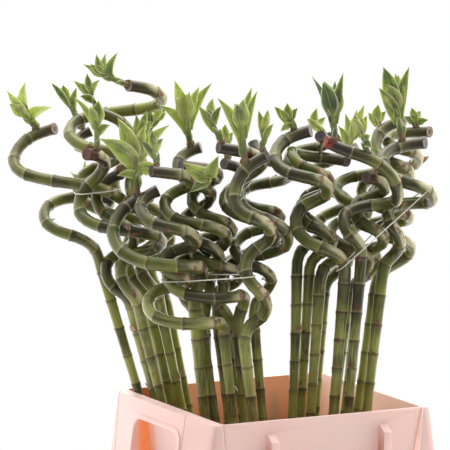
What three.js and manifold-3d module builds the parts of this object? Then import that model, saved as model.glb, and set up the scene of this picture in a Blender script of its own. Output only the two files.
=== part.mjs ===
// Lucky bamboo: three bunches of curled dracaena canes standing in a moulded plastic bucket.
// Millimetres, +Z up. The origin is the middle of the bucket's underside. The handles are in
// the sides towards -X and +X, and the front left is towards -Y and -X.
import * as THREE from 'three';
import { mergeVertices } from 'three/addons/utils/BufferGeometryUtils.js';
import Module from 'manifold-3d';

const wasm = await Module();
wasm.setup();

// Bucket sizes
const RIM = { x: 285, y: 285, z: 290 };
const BASE = { x: 231, y: 231 };
const CORNER = { rim: 9, base: 20 };
const WALL = 2.6;
const FLOOR = 10;
const RIM_BAND = { height: 4, proud: 1.2 };
// The hollow skirt on each handle side: how far it stands out under the rim, how much it
// grows from there on, and how far its ends stand out. Webs close it beside the handle.
const SKIRT = { drop: 100, below: 1, out: 11, grow: 15, ends: [0.8, 9], roof: 3, wall: 2.6 };
const HANDLE = { top: 25, bottom: 80, from: -53, to: 76, corner: 14 };
const HANDLE_LIP = { width: 6, proud: 1.6 };
const FIN = { at: [-74, 85], drop: 17, slope: 9, stand: 15, grow: 3, width: 11, low: 92, foot: 150 };

// Water, canes and the gap that touching pieces keep
const WATER_DEPTH = 55;
const GAP = 0.3;
const CANE = { foot: 6.3, curl: 8.1, sides: 6, ring: 1.07, waist: 0.975, tip: 0.93 };
const INTERNODE = { hidden: 84, straight: 40, curl: 34 };
const CLEAR = 0.9;

// Canes run straight below this height, and as one long stretch for each step in the bucket
const STRAIGHT_BELOW = FLOOR + WATER_DEPTH + 20;
const HIDDEN_BELOW = RIM.z - 30;

// Routes are written as the bunch is seen from its front left, turned and tilted by these
// angles: right, up and near, in mm from the middle of the bucket's rim.
const TURN = THREE.MathUtils.degToRad(27);
const RISE = THREE.MathUtils.degToRad(10.3);
const TILT = 0.2;
const SWING = { share: 0.75, least: 14, most: 34 };
// How much faster a cane climbs at its elbows than on the average, which makes them rounder
const ELBOW = 0.5;
// Steps of a cane's middle line, in the straight stem, in each pass of the curl and in mm
const LINE = { stem: 40, pass: 24, even: 6, roundings: 5 };
// How canes that cross are bent apart: how often, how far at a time, how the bend is spread
// along a cane, and how much of it goes sideways instead of towards the viewer
const BEND = { rounds: 160, last: 12, step: 0.6, spread: 0.3, spreadLast: 0.08, sideways: 0.4 };
const WIDEST_PAIR = 22;

// Each cane: where it stands on the floor [right, near], its depth at the start and the end
// of the curl, then the turns of the curl from the top of the straight stem upwards, as
// [right, up, bow]. The last turn is cut at the given share of its length.
const CANES = {
  cane_left_1: { foot: [-95, -45], depth: [-42, -42], cut: 0.35, thick: 0.96,
    turns: [[-221, 173, 8], [-294, 235, 12], [-209, 245], [-234, 281]] },
  cane_left_2: { foot: [-73, -5], depth: [-12, 8], cut: 0.55, thick: 1.02,
    turns: [[-170, 109], [-194, 166], [-140, 199], [-246, 240], [-212, 304], [-253, 317]] },
  cane_left_3: { foot: [-79, -25], depth: [-28, -18], cut: 0.6, thick: 0.96,
    turns: [[-181, 115], [-214, 163], [-172, 200], [-216, 249], [-163, 298]] },
  cane_left_4: { foot: [-60, -34], depth: [-30, -40], cut: 0.5, thick: 1,
    turns: [[-147, 125], [-173, 173], [-138, 221], [-198, 268], [-176, 298], [-263, 339], [-140, 380, 12],
      [-227, 400]] },
  cane_left_5: { foot: [-55, -62], depth: [-60, -66], cut: 0.5, thick: 0.9,
    turns: [[-136, 118], [-157, 163], [-129, 204], [-251, 273], [-195, 314], [-253, 326], [-214, 353]] },
  cane_left_6: { foot: [-91, -72], depth: [-74, -84], cut: 0.6, thick: 0.9,
    turns: [[-167, 112], [-198, 173], [-157, 225], [-205, 276], [-176, 317, 15], [-259, 391]] },
  cane_left_7: { foot: [-73, -62], depth: [-60, -52], cut: 0.56, thick: 1,
    turns: [[-159, 125], [-185, 182], [-170, 237, 12], [-332, 301], [-240, 374]] },
  cane_middle_1: { foot: [-53, 62], depth: [52, 68], cut: 0.5, thick: 1.06,
    turns: [[-106, 125], [-94, 166, -12], [-202, 206, 10], [-103, 271]] },
  cane_middle_2: { foot: [-20, 85], depth: [66, 56], cut: 0.45, thick: 1,
    turns: [[-63, 97, -8], [-157, 121, 7], [-99, 150], [-138, 174], [-92, 202], [-167, 240], [-106, 278]] },
  cane_middle_3: { foot: [-13, 48], depth: [48, 34], cut: 0.6, thick: 0.98,
    turns: [[-44, 86], [-33, 131, -10], [-129, 152], [-56, 202], [-136, 246], [-99, 281], [-182, 304]] },
  cane_middle_4: { foot: [8, 95], depth: [84, 96], cut: 0.5, thick: 1.04,
    turns: [[-36, 74], [-7, 113], [-35, 166], [-1, 207], [-49, 249], [35, 349]] },
  cane_middle_5: { foot: [-30, 30], depth: [30, 36], cut: 0.65, thick: 1,
    turns: [[-68, 112], [-61, 157], [21, 203], [-48, 266], [-13, 298], [-93, 336]] },
  cane_middle_6: { foot: [-8, 12], depth: [14, 10], cut: 0.5, thick: 0.92,
    turns: [[-52, 99], [-74, 144], [8, 207], [-65, 246], [-29, 272], [-93, 317]] },
  cane_middle_7: { foot: [-60, 28], depth: [24, 18], cut: 0.6, thick: 0.96,
    turns: [[-93, 112], [-52, 157], [-106, 179], [-48, 202], [-102, 246], [-65, 278], [-144, 304]] },
  cane_middle_8: { foot: [-38, 66], depth: [42, 2], cut: 0.5, thick: 1,
    turns: [[-89, 93], [-112, 138], [-61, 173], [-112, 217], [-74, 253], [-121, 291], [-61, 336]] },
  cane_middle_9: { foot: [14, 42], depth: [26, -12], cut: 1, thick: 0.94,
    turns: [[-25, 106], [-2, 150], [-52, 188], [10, 232], [-44, 258], [24, 284], [-24, 326]] },
  cane_right_1: { foot: [57, 45], depth: [42, 46], cut: 0.5, thick: 1.06,
    turns: [[92, 163], [28, 225], [71, 266], [4, 300], [99, 358]] },
  cane_right_2: { foot: [13, 18], depth: [12, 4], cut: 0.4, thick: 0.96,
    turns: [[36, 173], [67, 208], [36, 240], [63, 272], [16, 301], [67, 323], [35, 349]] },
  cane_right_3: { foot: [22, -4], depth: [2, 38], cut: 0.7, thick: 0.96,
    turns: [[47, 173], [80, 202], [33, 237], [74, 266], [20, 312], [118, 281]] },
  cane_right_4: { foot: [75, 48], depth: [44, 52], cut: 0.67, thick: 1,
    turns: [[113, 185], [88, 223], [159, 249], [35, 378]] },
  cane_right_5: { foot: [33, 30], depth: [22, 8], cut: 0.5, thick: 1,
    turns: [[60, 150], [143, 199], [102, 237], [144, 266], [93, 298]] },
  cane_right_6: { foot: [93, 20], depth: [16, 26], cut: 0.5, thick: 1.04,
    turns: [[139, 157], [161, 196], [143, 236], [203, 248], [138, 301, -6], [250, 345]] },
  cane_right_7: { foot: [75, -22], depth: [-16, -22], cut: 0.6, thick: 0.94,
    turns: [[130, 138], [176, 194], [127, 214], [173, 230], [118, 253], [173, 281], [127, 317],
      [189, 374]] },
  cane_right_8: { foot: [50, -28], depth: [-34, -42], cut: 0.7, thick: 0.94,
    turns: [[97, 125], [135, 173], [93, 202], [158, 226], [112, 259], [188, 307], [144, 330], [221, 340]] },
  cane_right_9: { foot: [36, -50], depth: [-52, -56], cut: 0.5, thick: 0.92,
    turns: [[68, 138], [102, 182], [58, 221], [99, 253], [51, 285], [97, 317], [48, 355]] },
  cane_right_10: { foot: [66, 12], depth: [-4, -30], cut: 1, thick: 0.92,
    turns: [[110, 150], [124, 184], [72, 214], [128, 240], [84, 268], [150, 296], [104, 322]] },
};

// Leafy side shoots: the cane that each grows on and how far back from the cut tip, where its
// stem ends [right, up, near from the cane], and its leaves' tips [right, up, near, width],
// lowest leaf first
const SHOOTS = {
  shoot_left_1: { on: 'cane_left_7', back: 18, stem: [-317, 362, 4], thick: 3.9,
    leaves: [[-284, 372, 10, 12], [-341, 393, 8, 11], [-318, 405, -6, 12]] },
  shoot_left_2: { on: 'cane_left_5', back: 8, stem: [-264, 382, -8], thick: 3.2,
    leaves: [[-252, 398, -10, 8], [-285, 404, -4, 7], [-268, 399, -22, 8]] },
  shoot_left_3: { on: 'cane_left_6', back: 9, stem: [-234, 388, 4], thick: 3.2,
    leaves: [[-246, 384, 16, 8], [-255, 405, -6, 8], [-221, 406, 0, 7], [-237, 413, 10, 8]] },
  shoot_left_4: { on: 'cane_left_4', back: 10, stem: [-213, 409, 4], thick: 3.9,
    leaves: [[-241, 423, -4, 8], [-196, 437, 6, 8], [-212, 437, -10, 8], [-223, 434, 10, 9]] },
  shoot_left_5: { on: 'cane_left_2', back: 16, stem: [-223, 345, 6], thick: 3.5,
    leaves: [[-205, 343, 10, 9], [-250, 378, -2, 8], [-219, 373, 12, 15]] },
  shoot_left_6: { on: 'cane_left_6', back: 80, stem: [-150, 356, -8], thick: 3.2,
    leaves: [[-162, 373, -14, 9], [-137, 374, -16, 8], [-148, 384, -6, 9]] },
  shoot_left_7: { on: 'cane_left_3', back: 8, stem: [-170, 334, -6], thick: 3.2,
    leaves: [[-153, 352, -10, 8], [-175, 362, -12, 9], [-161, 366, -4, 8]] },
  shoot_left_8: { on: 'cane_left_1', back: 40, stem: [-238, 270, -34], thick: 3,
    leaves: [[-262, 292, -38, 9], [-224, 300, -40, 9], [-242, 306, -30, 8]] },
  shoot_middle_1: { on: 'cane_middle_1', back: 19, stem: [-172, 299, 8], thick: 4,
    leaves: [[-196, 279, 18, 9], [-130, 279, 20, 14], [-217, 325, 16, 19], [-130, 343, 8, 13],
      [-195, 351, 6, 17], [-160, 343, 16, 12]] },
  shoot_middle_2: { on: 'cane_middle_8', back: 14, stem: [-109, 352, 6], thick: 3.8,
    leaves: [[-144, 371, 14, 10], [-77, 400, -6, 11], [-125, 404, -8, 13], [-93, 394, 4, 11],
      [-114, 388, 16, 16]] },
  shoot_middle_3: { on: 'cane_middle_5', back: 10, stem: [-77, 347, 4], thick: 3.1,
    leaves: [[-93, 365, 6, 9], [-64, 365, 6, 8], [-75, 375, -6, 9]] },
  shoot_middle_4: { on: 'cane_middle_7', back: 44, stem: [-80, 277, 30], thick: 3.5,
    leaves: [[-104, 258, 38, 12], [-113, 295, 36, 16], [-68, 304, 32, 13]] },
  shoot_middle_5: { on: 'cane_middle_4', back: 34, stem: [-38, 338, 6], thick: 3.9,
    leaves: [[-69, 374, 8, 11], [-19, 383, 2, 9], [-26, 388, -8, 9], [-45, 366, 16, 14]] },
  shoot_middle_6: { on: 'cane_middle_4', back: 8, stem: [-11, 336, -8], thick: 2.8,
    leaves: [[1, 343, -6, 7], [-18, 360, -10, 7], [-6, 361, -14, 7]] },
  shoot_middle_7: { on: 'cane_middle_6', back: 8, stem: [-60, 322, -10], thick: 3,
    leaves: [[-73, 333, -18, 8], [-50, 336, -20, 8], [-60, 346, -12, 9]] },
  shoot_middle_8: { on: 'cane_middle_3', back: 9, stem: [-150, 312, -16], thick: 3,
    leaves: [[-166, 322, -24, 9], [-138, 326, -26, 8], [-152, 336, -18, 8]] },
  shoot_right_1: { on: 'cane_right_1', back: 18, stem: [21, 350, 2], thick: 3.2,
    leaves: [[10, 336, 10, 8], [2, 368, 0, 9], [32, 366, 4, 8], [19, 372, 8, 9]] },
  shoot_right_2: { on: 'cane_right_4', back: 14, stem: [76, 352, 2], thick: 3.9,
    leaves: [[49, 401, -8, 7], [88, 405, 4, 9], [78, 396, -12, 10], [62, 392, 12, 16]] },
  shoot_right_3: { on: 'cane_right_3', back: 8, stem: [100, 328, -12], thick: 3.2,
    leaves: [[83, 344, -6, 9], [92, 360, -16, 9], [107, 366, -22, 8], [116, 371, -12, 9]] },
  shoot_right_4: { on: 'cane_right_4', back: 62, stem: [112, 330, 4], thick: 3,
    leaves: [[124, 311, 16, 8], [122, 327, 10, 8], [102, 353, 8, 8], [118, 352, 2, 8]] },
  shoot_right_5: { on: 'cane_right_6', back: 30, stem: [158, 366, 4], thick: 4,
    leaves: [[134, 392, 10, 13], [173, 419, 2, 11], [156, 412, -12, 9], [140, 418, 4, 16]] },
  shoot_right_6: { on: 'cane_right_8', back: 14, stem: [183, 354, 2], thick: 3.2,
    leaves: [[200, 356, 6, 8], [168, 360, -6, 8], [190, 368, -8, 9], [178, 372, 4, 8]] },
  shoot_right_7: { on: 'cane_right_7', back: 34, stem: [134, 350, -8], thick: 3,
    leaves: [[122, 364, -12, 8], [145, 366, -14, 8], [135, 374, -6, 10]] },
  shoot_right_8: { on: 'cane_right_9', back: 9, stem: [56, 346, -20], thick: 3,
    leaves: [[44, 358, -26, 9], [68, 360, -28, 8], [57, 371, -22, 9]] },
  shoot_right_9: { on: 'cane_right_5', back: 8, stem: [136, 302, -22], thick: 2.8,
    leaves: [[148, 314, -28, 8], [126, 318, -30, 8], [139, 326, -24, 8]] },
};
const BLADE = { thick: 1.3, fold: 0.14, sides: [0.45, 1.12, 0.98], at: [0, 0.34, 0.68], small: 9 };
const STEM_SIDES = 4;
// A shoot's stem: how it thins, how far it hangs and how long its point is. A leaf's foot lies
// at this share of the stem's radius, and slivers up to this size are smoothed away.
const STEM = { thins: [1, 0.9, 0.8], hang: 0.04, point: 2.5 };
const LEAF_FOOT = 0.75;
const SLIVER = 0.1;
const LEAF_CURVE = 0.45;
// Room that a shoot keeps from other pieces while its place is looked for
const ROOM = { stem: 0.5, leaf: 0.8 };
const SHIFTS = [0, 5, -5, 10, -10, 15, -15, 20, -20, 26, -26, 32, -32, 40, -40];

// Elastic ties: a point that the thread passes at its front [right, up, near], how steeply it
// climbs to the right, and the canes that it is wound round
const TIES = {
  tie_left: { at: [-225, 256, 24], slope: 0.02, round: ['cane_left_1', 'cane_left_2', 'cane_left_3'] },
  tie_middle: { at: [-90, 147, 88], slope: 0.11,
    round: ['cane_middle_1', 'cane_middle_2', 'cane_middle_4'] },
  tie_right: { at: [118, 190, 62], slope: 0.9, round: ['cane_right_1', 'cane_right_4', 'cane_right_6'] },
};
// How far below a cane's foot and how far up a hole through the water runs
const HOLE = { below: 8, above: 74 };
const THREAD = { radius: 0.7, off: 1.4, sides: 3, corners: 6, rounds: 14, catch: 2.5, closest: 0.6 };
const THREAD_LIFTS = [-1.6, -0.8, 0, 0.8, 1.6];

// A point given as seen, in the bucket's own axes
function placed(right, up, near) {
  const height = (up + near * Math.sin(RISE)) / Math.cos(RISE);
  return new THREE.Vector3(
    right * Math.cos(TURN) - near * Math.sin(TURN),
    -right * Math.sin(TURN) - near * Math.cos(TURN),
    RIM.z + height);
}

const TOWARDS = placed(0, 0, 1).sub(placed(0, 0, 0)).setZ(0).normalize();

// A point on the bucket's floor, in the bucket's own axes
function standing(right, near, z) {
  return placed(right, 0, near).setZ(z);
}

// The smooth middle line of a cane, as many close points from its foot to its cut tip
function caneLine(cane) {
  const turns = cane.turns;
  const last = turns.length - 2;
  const depthAt = (i) => THREE.MathUtils.lerp(cane.depth[0], cane.depth[1], i / last);
  const line = [];
  const foot = standing(cane.foot[0], cane.foot[1], FLOOR + GAP);
  const top = placed(turns[0][0], turns[0][1], cane.depth[0]);
  for (let i = 0; i < LINE.stem; i += 1) {
    line.push(foot.clone().lerp(top, i / LINE.stem));
  }
  for (let i = 0; i <= last; i += 1) {
    const [right0, up0, bow = 0] = turns[i];
    const [right1, up1] = turns[i + 1];
    const front = right1 < right0 ? 1 : -1;
    const reach = Math.abs(right1 - right0) / 2 * SWING.share;
    const swing = THREE.MathUtils.clamp(reach, SWING.least, SWING.most);
    const end = i === last ? cane.cut : 1;
    for (let k = 0; k <= LINE.pass * end; k += 1) {
      const t = k / LINE.pass;
      const bulge = Math.sin(Math.PI * t);
      const right = right0 + (right1 - right0) * (1 - Math.cos(Math.PI * t)) / 2;
      const climb = t + ELBOW * Math.sin(2 * Math.PI * t) / (2 * Math.PI);
      const up = up0 + (up1 - up0) * climb + (bow - TILT * front * swing) * bulge;
      line.push(placed(right, up, depthAt(i + t * 0.99) + front * swing * bulge));
    }
  }
  return smoothed(evenly(line, LINE.even), LINE.roundings);
}

// The same line with points at an even distance
function evenly(line, step) {
  const curve = new THREE.CatmullRomCurve3(line, false, 'centripetal');
  curve.arcLengthDivisions = line.length * 4;
  return curve.getSpacedPoints(Math.round(curve.getLength() / step));
}

// The same line with its kinks rounded off
function smoothed(line, rounds) {
  let points = line;
  for (let n = 0; n < rounds; n += 1) {
    points = points.map((p, i) => {
      if (i === 0 || i === points.length - 1) return p.clone();
      return p.clone().multiplyScalar(2).add(points[i - 1]).add(points[i + 1]).divideScalar(4);
    });
  }
  return points;
}

// Stations along a cane: joints of the stem and the middles between them, from foot to tip
function stations(cane) {
  const line = caneLine(cane);
  const curve = new THREE.CatmullRomCurve3(line, false, 'centripetal');
  curve.arcLengthDivisions = line.length * 4;
  const length = curve.getLength();
  const curlFrom = placed(cane.turns[0][0], cane.turns[0][1], cane.depth[0]).z - 10;
  const found = [];
  let at = length;
  let joint = false;
  while (at > 0) {
    const point = curve.getPointAt(at / length);
    found.unshift({ point, joint });
    const hidden = point.z < HIDDEN_BELOW;
    const between = hidden ? INTERNODE.hidden : point.z < curlFrom ? INTERNODE.straight : INTERNODE.curl;
    at -= hidden ? between : between / 2;
    joint = hidden ? true : !joint;
  }
  while (found[0].point.z < STRAIGHT_BELOW) found.shift();
  found.unshift({ point: curve.getPointAt(0), joint: false });
  for (const station of found) {
    const rise = THREE.MathUtils.smoothstep(station.point.z, RIM.z, curlFrom + 30);
    const radius = THREE.MathUtils.lerp(CANE.foot, CANE.curl, rise) * cane.thick;
    const plain = station.point.z < STRAIGHT_BELOW;
    station.radius = radius * (plain ? 1 : station.joint ? CANE.ring : CANE.waist);
    station.home = station.point.clone();
  }
  found[found.length - 1].radius *= CANE.tip;
  return found;
}

// How close two straight stretches come, and where
function nearest(a0, a1, b0, b1) {
  const u = a1.clone().sub(a0);
  const v = b1.clone().sub(b0);
  const w = a0.clone().sub(b0);
  const [uu, uv, vv, uw, vw] = [u.dot(u), u.dot(v), v.dot(v), u.dot(w), v.dot(w)];
  const det = uu * vv - uv * uv;
  let s = det > 1e-9 ? THREE.MathUtils.clamp((uv * vw - vv * uw) / det, 0, 1) : 0.5;
  const t = THREE.MathUtils.clamp((uv * s + vw) / vv, 0, 1);
  s = THREE.MathUtils.clamp((uv * t - uw) / uu, 0, 1);
  const gap = a0.clone().addScaledVector(u, s).sub(b0.clone().addScaledVector(v, t));
  return { s, t, gap };
}

// Bends the canes clear of each other and of the bucket, mostly towards or away from the viewer
function bendClear(canes) {
  const names = Object.keys(canes);
  for (let round = 0; round < BEND.rounds; round += 1) {
    for (const name of names) {
      for (const station of canes[name]) station.push = new THREE.Vector3();
    }
    for (let i = 0; i < names.length; i += 1) {
      for (let j = i + 1; j < names.length; j += 1) pushApart(canes[names[i]], canes[names[j]]);
    }
    for (const name of names) {
      const cane = canes[name];
      for (const station of cane) station.point.addScaledVector(station.push, BEND.step);
      const shifts = cane.map((station) => station.point.clone().sub(station.home));
      cane.forEach((station, k) => {
        if (k === 0) {
          station.point.copy(station.home);
          return;
        }
        const before = shifts[k - 1];
        const after = shifts[Math.min(k + 1, cane.length - 1)];
        const soft = round < BEND.rounds - BEND.last ? BEND.spread : BEND.spreadLast;
        const shift = shifts[k].multiplyScalar(1 - soft);
        shift.addScaledVector(before, soft / 2).addScaledVector(after, soft / 2);
        station.point.copy(station.home).add(shift);
        keepInside(station);
      });
    }
  }
}

function pushApart(first, second) {
  for (let i = 0; i < first.length - 1; i += 1) {
    const a0 = first[i];
    const a1 = first[i + 1];
    for (let j = 0; j < second.length - 1; j += 1) {
      const b0 = second[j];
      const b1 = second[j + 1];
      const far = a0.point.distanceTo(b0.point);
      const reach = a0.point.distanceTo(a1.point) + b0.point.distanceTo(b1.point);
      if (far > reach + WIDEST_PAIR) continue;
      const { s, t, gap } = nearest(a0.point, a1.point, b0.point, b1.point);
      const wanted = Math.max(a0.radius, a1.radius) + Math.max(b0.radius, b1.radius) + CLEAR;
      const short = wanted - gap.length();
      if (short <= 0) continue;
      const towards = gap.dot(TOWARDS);
      const sideways = gap.clone().addScaledVector(TOWARDS, -towards);
      const way = sideways.multiplyScalar(BEND.sideways).addScaledVector(TOWARDS, towards || 1).normalize();
      const along = Math.max(0.5, Math.abs(way.dot(gap)) / Math.max(gap.length(), 1e-6));
      const step = short / along / 2;
      a0.push.addScaledVector(way, step * (1 - s));
      a1.push.addScaledVector(way, step * s);
      b0.push.addScaledVector(way, -step * (1 - t));
      b1.push.addScaledVector(way, -step * t);
    }
  }
}

// Keeps a stem inside the bucket's walls
function keepInside(station) {
  const z = station.point.z;
  if (z > RIM.z + 12) return;
  const share = z / RIM.z;
  for (const side of ['x', 'y']) {
    const half = THREE.MathUtils.lerp(BASE[side], RIM[side], share) / 2 - WALL - station.radius - 1;
    station.point[side] = THREE.MathUtils.clamp(station.point[side], -half, half);
  }
}

// A closed skin over rings of points. A ring of one point closes to a tip.
function skin(rings) {
  const places = [];
  const faces = [];
  const starts = rings.map((ring) => {
    const start = places.length / 3;
    ring.forEach((p) => places.push(p.x, p.y, p.z));
    return start;
  });
  const cap = (ring, start, flip) => {
    for (let k = 1; k < ring.length - 1; k += 1) {
      faces.push(start, start + (flip ? k + 1 : k), start + (flip ? k : k + 1));
    }
  };
  for (let i = 0; i < rings.length - 1; i += 1) {
    const [low, high] = [rings[i].length, rings[i + 1].length];
    const sides = Math.max(low, high);
    for (let k = 0; k < sides; k += 1) {
      const next = (k + 1) % sides;
      const [a, b] = [starts[i] + k % low, starts[i] + next % low];
      const [c, d] = [starts[i + 1] + next % high, starts[i + 1] + k % high];
      if (low > 1) faces.push(a, b, c);
      if (high > 1) faces.push(a, c, d);
    }
  }
  if (rings[0].length > 1) cap(rings[0], starts[0], true);
  if (rings[rings.length - 1].length > 1) cap(rings[rings.length - 1], starts[rings.length - 1], false);
  return outwards(places, faces);
}

// The faces as a geometry whose faces point out
function outwards(places, faces) {
  const geometry = new THREE.BufferGeometry();
  geometry.setAttribute('position', new THREE.Float32BufferAttribute(places, 3));
  geometry.setIndex(faces);
  if (volumeOf(geometry) < 0) {
    const index = geometry.getIndex();
    for (let i = 0; i < index.count; i += 3) {
      const [b, c] = [index.getX(i + 1), index.getX(i + 2)];
      index.setX(i + 1, c);
      index.setX(i + 2, b);
    }
  }
  return geometry;
}

function volumeOf(geometry) {
  const place = geometry.getAttribute('position');
  const index = geometry.getIndex();
  const corner = (i) => new THREE.Vector3().fromBufferAttribute(place, index.getX(i));
  let volume = 0;
  for (let i = 0; i < index.count; i += 3) {
    volume += corner(i).dot(corner(i + 1).cross(corner(i + 2))) / 6;
  }
  return volume;
}

// Tube rings along points, each with its own radius, without twist
function tubeRings(points, radii, sides) {
  const rings = [];
  let side = null;
  points.forEach((point, i) => {
    const before = points[Math.max(i - 1, 0)];
    const after = points[Math.min(i + 1, points.length - 1)];
    const along = after.clone().sub(before).normalize();
    if (!side) side = new THREE.Vector3(1, 0, 0);
    side = side.clone().addScaledVector(along, -side.dot(along)).normalize();
    const up = along.clone().cross(side);
    const ring = [];
    for (let k = 0; k < sides; k += 1) {
      const turn = 2 * Math.PI * (k + 0.5) / sides;
      ring.push(point.clone().addScaledVector(side, radii[i] * Math.cos(turn))
        .addScaledVector(up, radii[i] * Math.sin(turn)));
    }
    rings.push(ring);
  });
  return rings;
}

function caneSkin(cane, grow = 0) {
  const points = cane.map((station) => station.point);
  const rings = tubeRings(points, cane.map((station) => station.radius + grow), CANE.sides);
  rings[0].forEach((corner) => corner.setZ(points[0].z));
  return skin(rings);
}

function solid(geometry) {
  const vertProperties = new Float32Array(geometry.getAttribute('position').array);
  const triVerts = new Uint32Array(geometry.getIndex().array);
  return new wasm.Manifold(new wasm.Mesh({ numProp: 3, vertProperties, triVerts }));
}

function geometryOf(body) {
  const mesh = body.getMesh();
  const geometry = new THREE.BufferGeometry();
  geometry.setAttribute('position', new THREE.Float32BufferAttribute(mesh.vertProperties, mesh.numProp));
  geometry.setIndex([...mesh.triVerts]);
  return geometry;
}

const joined = (bodies) => bodies.reduce((whole, body) => whole.add(body));

// An upright slab with rounded corners that changes size from its bottom to its top
function roundedLoft(levels, steps = 3) {
  return solid(skin(levels.map(({ z, x, y, r }) => {
    const ring = [];
    for (const [sx, sy, from] of [[1, 1, 0], [-1, 1, 90], [-1, -1, 180], [1, -1, 270]]) {
      for (let k = 0; k <= steps; k += 1) {
        const turn = THREE.MathUtils.degToRad(from + 90 * k / steps);
        ring.push(new THREE.Vector3(
          sx * (x / 2 - r) + r * Math.cos(turn),
          sy * (y / 2 - r) + r * Math.sin(turn),
          z));
      }
    }
    return ring;
  })));
}

// A plain box between two corners
function block(low, high) {
  const box = new THREE.BoxGeometry(...high.map((value, i) => value - low[i]));
  box.translate(...high.map((value, i) => (value + low[i]) / 2));
  box.deleteAttribute('normal');
  box.deleteAttribute('uv');
  return solid(mergeVertices(box));
}

// The bucket's wall line at a height
function shellLevel(z, inset = 0) {
  const share = z / RIM.z;
  return {
    z,
    x: THREE.MathUtils.lerp(BASE.x, RIM.x, share) - 2 * inset,
    y: THREE.MathUtils.lerp(BASE.y, RIM.y, share) - 2 * inset,
    r: Math.max(THREE.MathUtils.lerp(CORNER.base, CORNER.rim, share) - inset, 3),
  };
}

// The skirt's line at a height, flaring outwards from the rim
function skirtLevel(z, inset = 0) {
  const share = (RIM.z - z) / SKIRT.drop;
  const ends = THREE.MathUtils.lerp(...SKIRT.ends, share);
  return {
    z,
    x: RIM.x + 2 * (SKIRT.out + SKIRT.grow * share - inset),
    y: shellLevel(z).y + 2 * (ends - inset),
    r: CORNER.rim - inset / 2,
  };
}

// The outline of a handle's opening, grown by a margin, as a prism through the skirt
function handlePrism(margin, deepest) {
  const points = [];
  const [low, high] = [HANDLE.from - margin, HANDLE.to + margin];
  const top = RIM.z - HANDLE.top + margin;
  const bottom = RIM.z - HANDLE.bottom - margin;
  const corner = HANDLE.corner + margin;
  points.push([low, bottom], [high, bottom]);
  for (const [cy, from] of [[high - corner, 0], [low + corner, 90]]) {
    for (let k = 0; k <= 3; k += 1) {
      const turn = THREE.MathUtils.degToRad(from + 30 * k);
      points.push([cy + corner * Math.cos(turn), top - corner + corner * Math.sin(turn)]);
    }
  }
  const rings = [-RIM.x / 2 - 40, -deepest].map((x) => points.map(([y, z]) => new THREE.Vector3(x, y, z)));
  return solid(skin(rings));
}

// A fin on a side without a handle: its sloped top stands out quickly, and its foot runs back into the wall
function fin(at) {
  const face = (z) => -shellLevel(z).y / 2;
  const top = RIM.z - FIN.drop;
  const levels = [
    [top, -1],
    [top - FIN.slope, FIN.stand],
    [RIM.z - FIN.low, FIN.stand + FIN.grow],
    [RIM.z - FIN.foot, -1],
  ];
  return solid(skin(levels.map(([z, out]) => {
    const [root, edge] = [face(z) + WALL / 2, face(z) - out];
    return [[-1, root], [1, root], [1, edge], [-1, edge]].map(([side, y]) => (
      new THREE.Vector3(at + side * FIN.width / 2, y, z)));
  })));
}

const half = (body) => [body, body.rotate([0, 0, 180])];

function bucket() {
  const shell = roundedLoft([shellLevel(0), shellLevel(RIM.z)]);
  const band = roundedLoft([RIM.z - RIM_BAND.height, RIM.z].map((z) => shellLevel(z, -RIM_BAND.proud)));
  const low = RIM.z - SKIRT.drop;
  const top = RIM.z - SKIRT.below;
  const side = solid(skin([low - 2, RIM.z].map((z) => {
    const wall = 1 - shellLevel(z).x / 2;
    return [[-RIM.x, -RIM.y], [wall, -RIM.y], [wall, RIM.y], [-RIM.x, RIM.y]]
      .map(([x, y]) => new THREE.Vector3(x, y, z));
  })));
  const outer = roundedLoft([skirtLevel(low), skirtLevel(top)], 2);
  const inner = roundedLoft([skirtLevel(low - 1, SKIRT.wall), skirtLevel(top - SKIRT.roof, SKIRT.wall)], 2);
  const lip = roundedLoft([low, top].map((z) => skirtLevel(z, -HANDLE_LIP.proud)))
    .intersect(handlePrism(HANDLE_LIP.width, RIM.x / 2 + 6));
  const webs = [HANDLE.from - SKIRT.wall, HANDLE.to]
    .map((y) => block([-RIM.x, y, low], [0, y + SKIRT.wall, top - 1]).intersect(outer));
  const skirt = joined([outer.add(lip).subtract(inner), ...webs]).intersect(side)
    .subtract(handlePrism(0, RIM.x / 2 + 2));
  const fins = FIN.at.map(fin);
  const cavity = roundedLoft([shellLevel(FLOOR, WALL), shellLevel(RIM.z + 1, WALL)]);
  return joined([shell, band, ...half(skirt), ...fins.flatMap(half)]).subtract(cavity);
}

function water(canes) {
  const low = FLOOR + GAP;
  const high = FLOOR + WATER_DEPTH;
  const inset = WALL + GAP + 0.1;
  const body = roundedLoft([shellLevel(low, inset), shellLevel(high, inset)]);
  const holes = Object.values(canes).map((cane) => {
    const [foot, next] = [cane[0].point, cane[1].point];
    const along = next.clone().sub(foot).normalize();
    const points = [-HOLE.below, HOLE.above].map((way) => foot.clone().addScaledVector(along, way));
    const radius = Math.max(cane[0].radius, cane[1].radius) + GAP + 0.1;
    return solid(skin(tubeRings(points, [radius, radius], CANE.sides)));
  });
  return body.subtract(joined(holes));
}

// The point on a cane at a distance back from its cut tip
function pointBack(cane, back) {
  let left = back;
  for (let i = cane.length - 1; i > 0; i -= 1) {
    const step = cane[i].point.distanceTo(cane[i - 1].point);
    if (left <= step) return cane[i].point.clone().lerp(cane[i - 1].point, left / step);
    left -= step;
  }
  return cane[0].point.clone();
}

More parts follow.
